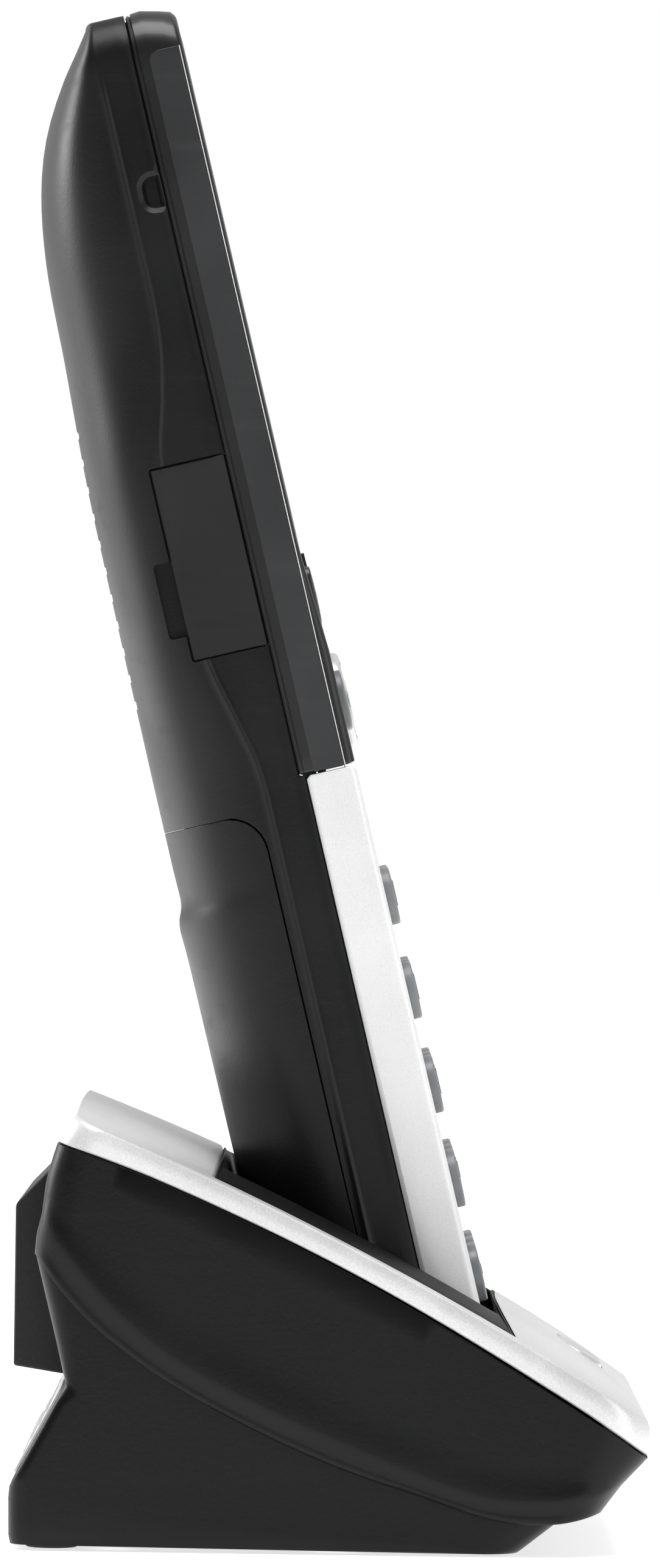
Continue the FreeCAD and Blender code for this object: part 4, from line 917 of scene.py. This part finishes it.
def make_insert():
    """Black cradle insert: flange across the deck, rolled lip at the mouth, pocket walls along the handset's
    lean, and a floor with slots for the charging pins."""
    def along(loop, lift):
        """The loop laid on the deck along the handset's lean, raised by lift."""
        return onto_deck(loop[:, 0], loop[:, 1], lift)

    def flange(d):
        """The opening's bowed loop drawn in by d."""
        return bowed(rounded_loop(-OPENING_HALF + d, OPENING_HALF - d, FLANGE_FRONT + d, FLANGE_REAR - d,
                                  [0.6] * 4, 8, (24, 18)))

    def pocket(d):
        """The pocket's rectangle let out by d."""
        return rounded_loop(-POCKET_SIDE - d, POCKET_SIDE + d, POCKET_FRONT - d, POCKET_REAR + d,
                            [1.2 + d] * 4, 8, (24, 18))

    def wall(loop, z):
        """The loop at a height measured along the lean."""
        return docked(loop[:, 0], loop[:, 1], z)

    rings = [wall(pocket(0.85), -2.1), along(pocket(0.85), -1.9), along(flange(0.0), -1.9),
             along(flange(0.0), -0.3), along(flange(0.08), -0.14), along(flange(0.25), -0.08)]
    for share in (0.25, 0.5, 0.75, 1.0):
        rings.append(along(flange(0.25) * (1 - share) + pocket(0.45) * share, -0.08 - 0.25 * share))
    rings += [along(pocket(0.2), -0.4), along(pocket(0.05), -0.6), along(pocket(0.0), -1.0)]
    top_z = (rings[-1][:, 2] - DOCK_Z + pocket(0.0)[:, 1] * LEAN_SIN) / LEAN_COS
    rings += [wall(pocket(0.0), top_z * (1 - s) + 0.6 * s) for s in (0.33, 0.66, 1.0)]
    rings += [wall(pocket(-0.2), 0.0), wall(pocket(-0.7), -0.15), wall(pocket(-3.0), -0.15)]
    cutters = [block(side * 13.0 - 1.5, side * 13.0 + 1.5, 3.5, 6.5, -4.0, 2.0) for side in (-1, 1)]
    shell = carved([stacked(np.stack(rings))], cutters)
    place("cradle_insert_shell", shell, cradle_black, "base", ["cradle_insert"])


def make_hull():
    """Hull between the rim and the rolled edge: rings that pass from one height line to the next while the
    plan draws in, with the roll turned under."""
    lines = ((rim_foot_line, -37.0, 32.0), (upper_crease_line, -33.9, 33.7), (lower_crease_line, -31.4, 34.5))
    rear_bulge = ((0.0, 0.0), (0.5, 0.35), (1.0, 0.0), (1.5, 0.2), (2.0, 0.0))

    def level(half, way, rr=REAR_CORNER, inward=0.0, drop=0.0):
        """Ring at a way down the hull: 0 at the rim, 1 at the roll's upper line, 2 at its lower line."""
        first = min(int(way), 1)
        share = way - first
        (line_a, front_a, rear_a), (line_b, front_b, rear_b) = lines[first], lines[first + 1]
        front = front_a * (1 - share) + front_b * share + inward
        bulge = float(np.interp(way, *np.array(rear_bulge).T))
        rear = rear_a * (1 - share) + rear_b * share + bulge - inward
        loop = plan_loop(half, front, rear, FRONT_CORNER - (BASE_HALF - half), rr)
        along = (loop[:, 1] - front) / (rear - front)
        height_a = line_a(front_a + along * (rear_a - front_a))
        height_b = line_b(front_b + along * (rear_b - front_b))
        return plain(loop[:, 0], loop[:, 1], height_a * (1 - share) + height_b * share - drop)

    stops = [(40.4, 0.0, 2.4, 1.5, 0.5), (41.2, 0.0, 3.2, 0.6, 0.2), (41.55, 0.0, 3.6, 0.2, 0.25),
             (41.72, 0.03, 3.8, 0.05), (41.72, 0.2), (41.72, 0.4), (41.72, 0.6), (41.73, 0.72), (41.77, 0.8),
             (41.85, 0.87), (41.93, 0.93), (41.97, 0.98), (41.96, 1.04), (41.88, 1.14), (41.7, 1.3),
             (41.5, 1.45), (41.4, 1.6), (41.4, 1.7), (41.42, 1.8), (41.38, 1.88), (41.2, 1.96),
             (40.9, 2.0, 3.7, 0.3, 0.05), (40.2, 1.95, 3.0, 1.0), (39.6, 1.6, 2.0, 2.0),
             (39.6, 0.3, 2.0, 2.4)]
    shell = hooped(np.stack([level(*stop) for stop in stops]))
    box_hole = block(-28.2, 28.2, 28.0, 40.0, 19.3, 44.8, plain)
    place("base_hull_shell", carved([shell], [box_hole]), base_black, "base", ["base_hull"])


def make_lower_body():
    """Lower body under the roll: rings at shares of the roll's height; the rear follows the notch profile."""
    shares = np.array([1.04, 1.0, 0.86, 0.7, 0.575, 0.555, 0.5, 0.4, 0.3, 0.245, 0.225, 0.20, 0.16, 0.08,
                       0.03, 0.0])
    rear = np.interp(shares, [0.0, 0.03, 0.19, 0.23, 0.56, 1.0], [36.9, 37.1, 37.18, 36.6, 30.65, 34.3])
    half = np.interp(shares, [0.0, 0.03, 0.1, 1.0], [40.2, 40.45, 40.6, 40.75])
    rings = []
    corner = np.interp(shares, [0.0, 0.19, 0.24, 0.5, 0.6, 1.0], [2.6, 2.6, 1.2, 1.0, 2.0, 3.6])
    for share, back, side, radius in zip(shares, rear, half, corner):
        front = -21.9 - 4.7 * share
        loop = plan_loop(side, front, back, 4.6, radius)
        along = (loop[:, 1] - front) / (back - front)
        floor = 0.3 + 0.4 * along
        crease = lower_crease_line(-26.6 + along * 61.0)
        rings.append(plain(loop[:, 0], loop[:, 1], floor + (crease - floor) * share))
    inner_low = plan_loop(37.4, -18.6, 27.8, 3.0, 2.0)
    rings.append(plain(inner_low[:, 0], inner_low[:, 1], 0.5))
    rings.append(plain(inner_low[:, 0], inner_low[:, 1], lower_crease_line(inner_low[:, 1]) * 0.8))
    shell = hooped(np.stack(rings))
    box_hole = block(-28.2, 28.2, 28.0, 40.0, 19.5, 44.8, plain)
    feet = [foot_well(x, y) for x in (-33.0, 33.0) for y in (32.2, -16.2)]
    place("base_lower_body_shell", carved([shell], [box_hole] + feet), base_black, "base",
          ["base_lower_body"])


def foot_well(x, y):
    """Round recess for a rubber foot."""
    loop = rounded_loop(x - 3.3, x + 3.3, y - 3.3, y + 3.3, [3.29] * 4, 8, (1, 1))
    return stacked(np.stack([plain(loop[:, 0], loop[:, 1], z) for z in (-1.0, 1.5)]))


def make_connector_box():
    """Connector box: its side outline carried across, rounded at the ends and drawn in towards its underside,
    with a window for the line jack and a round hole for the power jack."""
    corners = [(29.6, 44.6), (32.2, 44.6), (37.1, 39.5), (37.1, 20.6), (30.6, 19.6), (29.6, 19.6)]
    loop = soft_polygon(corners, [0.3, 0.5, 0.5, 0.35, 0.3, 0.3], 5)[::-1]
    middle = np.array([33.5, 32.0])
    end = [(-28.0, 2.4), (-28.0, 1.2), (-28.0, 0.3), (-27.85, 0.08), (-27.5, 0.0), (-14.0, 0.0)]
    stations = end + [(0.0, 0.0)] + [(-x, inset) for x, inset in end[::-1]]
    rings = []
    for x, inset in stations:
        ring = loop - inset * (loop - middle) / np.array([5.0, 13.0])
        rings.append(plain(x, ring[:, 0], ring[:, 1]))
    port = block(9.1, 18.9, 31.0, 40.0, 24.7, 31.7, plain)
    step = block(11.0, 17.0, 31.0, 40.0, 23.3, 25.0, plain)
    hole_loop = rounded_loop(-19.4, -12.6, 24.8, 31.6, [3.39] * 4, 10, (1, 1))
    hole = stacked(np.stack([plain(hole_loop[:, 0], y, hole_loop[:, 1]) for y in (31.0, 40.0)]))
    inside = block(-26.5, 26.5, 28.0, 35.5, 22.0, 37.5, plain)
    shell = carved([stacked(np.stack(rings))], [inside, port, step, hole])
    place("connector_box_shell", shell, connector_black, "base", ["connector_box"])


def make_label():
    """Rating plate without words on the sloping back: a thin plate with round corners and ruled lines."""
    low = np.array([36.45, 8.5])
    high = np.array([30.85, 18.85])
    along = (high - low) / np.linalg.norm(high - low)
    out = np.array([along[1], -along[0]])
    length = float(np.linalg.norm(high - low))

    def sheet(a0, a1, b0, b1, stops, radius):
        """Rounded rectangle on the slope: a across, b up it, each stop's inset at its rise off it."""
        rings = []
        for inset, rise in stops:
            loop = rounded_loop(a0 + inset, a1 - inset, b0 + inset, b1 - inset, [radius] * 4, 5, (6, 3))
            place_of = low[None] + loop[:, 1:] * along[None] + rise * out[None]
            rings.append(plain(loop[:, 0], place_of[:, 0], place_of[:, 1]))
        return stacked(np.stack(rings))

    plate = sheet(-36.5, 36.5, 0.2, length - 0.2, [(0, -0.3), (0, 0.30), (0.08, 0.36), (1.0, 0.37)], 1.0)
    place("rating_label_plate", [plate], label_grey, "base",
          ["rating_label"])
    rules = [sheet(-33.0, 12.0, b, b + 0.35, [(0, 0.3), (0, 0.40)], 0.1) for b in (2.4, 4.2, 6.0, 7.8)]
    rules += [sheet(15.0, 33.0, b, b + 0.35, [(0, 0.3), (0, 0.40)], 0.1) for b in (2.4, 7.8)]
    place("rating_label_rules", rules, legend_black, "base")


PAGE_Y = -29.2
PAGE_SLOPE = math.radians(30.65)


def page_plate(stops):
    """Oval plate square to the front deck: loops drawn in by a stop's inset at its rise along the normal."""
    base_height = DECK_FRONT[1] + (PAGE_Y - DECK_FRONT[0]) * math.tan(PAGE_SLOPE)
    rings = []
    for inset, rise in stops:
        half = 3.0 - inset
        reach = 6.5 - inset
        loop = rounded_loop(-reach, reach, -half, half, [2.99 - inset] * 4, 10, (6, 1))
        y = PAGE_Y + loop[:, 1] * math.cos(PAGE_SLOPE) - rise * math.sin(PAGE_SLOPE)
        z = base_height + loop[:, 1] * math.sin(PAGE_SLOPE) + rise * math.cos(PAGE_SLOPE)
        rings.append(plain(loop[:, 0], y, z))
    return stacked(np.stack(rings))


def make_page_button():
    """Page button: an oval cap with a rounded rim and a dished top."""
    stops = [(-0.7, -2.8), (-0.7, -2.1), (0.0, -2.0), (0.0, 0.95), (0.1, 1.2), (0.3, 1.38), (0.6, 1.42),
             (1.1, 1.3), (1.8, 1.18), (2.6, 1.12)]
    place("page_button_cap", [page_plate(stops)], silver_key, "page_button",
          ["page_button"])


# ======================= carried CAD nodes, stage, light and camera =======================

def finish_carried_nodes():
    """Gives every CAD node that stays its procedural finish."""
    finishes = {
        "base_bottom_plate": plate_black, "rubber_feet": foot_rubber, "base_circuit_board": board_green,
        "base_antenna": tinned_metal, "line_jack": jack_plastic, "power_jack": jack_plastic,
        "page_switch": jack_plastic, "base_screws": screw_steel, "display_module": display_grey,
        "earpiece_grille": contact_metal, "earpiece_speaker": speaker_metal, "loudspeaker": speaker_metal,
        "microphone": speaker_metal, "handset_circuit_board": board_green, "key_mat": key_rubber,
        "battery_pack": battery_sleeve, "battery_contacts": contact_metal, "headset_jack": jack_plastic,
        "handset_contacts": contact_metal, "handset_screws": screw_steel,
        "charge_contact_left": contact_metal, "charge_contact_right": contact_metal,
    }
    for name, finish in finishes.items():
        materials = frame["nodes"][name].data.materials
        materials.clear()
        materials.append(finish)


def softbox(name, location, target, size, power):
    """Rectangular soft light aimed at a point."""
    light = bpy.data.lights.new(name, "AREA")
    light.shape = "RECTANGLE"
    light.size, light.size_y = size
    light.energy = power
    lamp = put_in_scene(name, light)
    lamp.location = location
    lamp.rotation_euler = (Vector(target) - Vector(location)).to_track_quat("-Z", "Y").to_euler()


FLOOR_GLOW = 0.72
SKY_SEEN = 1.0
SKY_FAR = 0.70                  # the sky behind the object, as its surfaces see it
SKY_FILL = 0.20                 # what the surfaces see of the sky: dimmer, so blacks stay black


def make_stage():
    """Wide pale floor, and a sky that is white to the camera and dimmer to surfaces: least towards -X, the
    camera's side, and rising smoothly to SKY_FAR beyond the object."""
    span = np.linspace(-1, 1, 21)
    a, b = np.meshgrid(span, span, indexing="ij")
    floor_points = plain(6000 * a * np.abs(a), 6000 * b * np.abs(b), 0.0).reshape(-1, 3)
    mesh = mesh_of("floor_shape", [(floor_points, cells(21, 21, False), np.zeros((0, 3), int))])
    finish = Finish("floor_white", 0.6, 0.2)
    finish.colours(finish.noise(8.0, 2.0), grey(0.88), grey(0.91))
    finish.relief(finish.noise(400.0, 2.0), 0.02)
    finish.shader.inputs["Emission Color"].default_value = (1.0, 1.0, 1.0, 1.0)
    finish.shader.inputs["Emission Strength"].default_value = FLOOR_GLOW
    mesh.materials.append(finish.material)
    floor = put_in_scene("studio_floor", mesh)
    world = bpy.data.worlds.new("studio_sky")
    bpy.context.scene.world = world
    world.use_nodes = True
    nodes = world.node_tree.nodes
    link = world.node_tree.links.new
    background = nodes["Background"]
    background.inputs["Color"].default_value = (1.0, 1.0, 1.0, 1.0)
    path = nodes.new("ShaderNodeLightPath")
    level = nodes.new("ShaderNodeMapRange")
    level.inputs["To Max"].default_value = SKY_SEEN
    where = nodes.new("ShaderNodeTexCoord")
    parts = nodes.new("ShaderNodeSeparateXYZ")
    slope = nodes.new("ShaderNodeMapRange")
    slope.interpolation_type = "SMOOTHSTEP"
    set_range(slope, -0.5, 0.8, SKY_FILL, SKY_FAR)
    link(where.outputs["Generated"], parts.inputs["Vector"])
    link(parts.outputs["X"], slope.inputs["Value"])
    link(slope.outputs["Result"], level.inputs["To Min"])
    link(path.outputs["Is Camera Ray"], level.inputs["Value"])
    link(level.outputs["Result"], background.inputs["Strength"])


def make_lights():
    """Soft studio light: a tall box behind the handset's back, one above, and a weaker one to the front."""
    softbox("rear_box", (0.42, 0.80, 0.36), (0.0, 0.0, 0.13), (0.36, 0.50), 4.6)
    softbox("top_box", (-0.22, 0.0, 1.00), (0.0, 0.0, 0.08), (0.8, 0.6), 10.5)
    softbox("front_box", (-0.55, -0.95, 0.30), (0.0, 0.0, 0.08), (0.6, 0.8), 2.7)


CAMERA_ROLL = 0.8
CAMERA_PLACE = (-1.092, 0.00107, 0.08905)
CAMERA_VIEW_ANGLE = 9.84


def make_camera():
    """Level camera on the left side, turned by the object's slight roll, on its own film height."""
    camera = bpy.data.cameras.new("side_camera")
    camera.sensor_fit = "VERTICAL"
    camera.sensor_height = 36.0
    camera.angle_y = math.radians(CAMERA_VIEW_ANGLE)
    camera.clip_end = 50.0
    stand = put_in_scene("side_camera", camera)
    stand.location = CAMERA_PLACE
    level = Matrix(((0.0, 0.0, -1.0), (-1.0, 0.0, 0.0), (0.0, 1.0, 0.0)))
    roll = Matrix.Rotation(math.radians(CAMERA_ROLL), 3, "Z")
    stand.rotation_euler = (level @ roll).to_euler()
    bpy.context.scene.camera = stand


make_camera()
make_stage()
make_lights()
make_top_cover()
make_insert()
make_hull()
make_lower_body()
make_connector_box()
make_label()
make_page_button()
make_rear_case()
make_battery_cover()
make_flap()
make_front_case()
make_side_trims()
make_lens_edge_highlight_strip()
make_bezel()
make_lens()
make_keys()
finish_carried_nodes()
bpy.context.scene.view_settings.view_transform = "Standard"
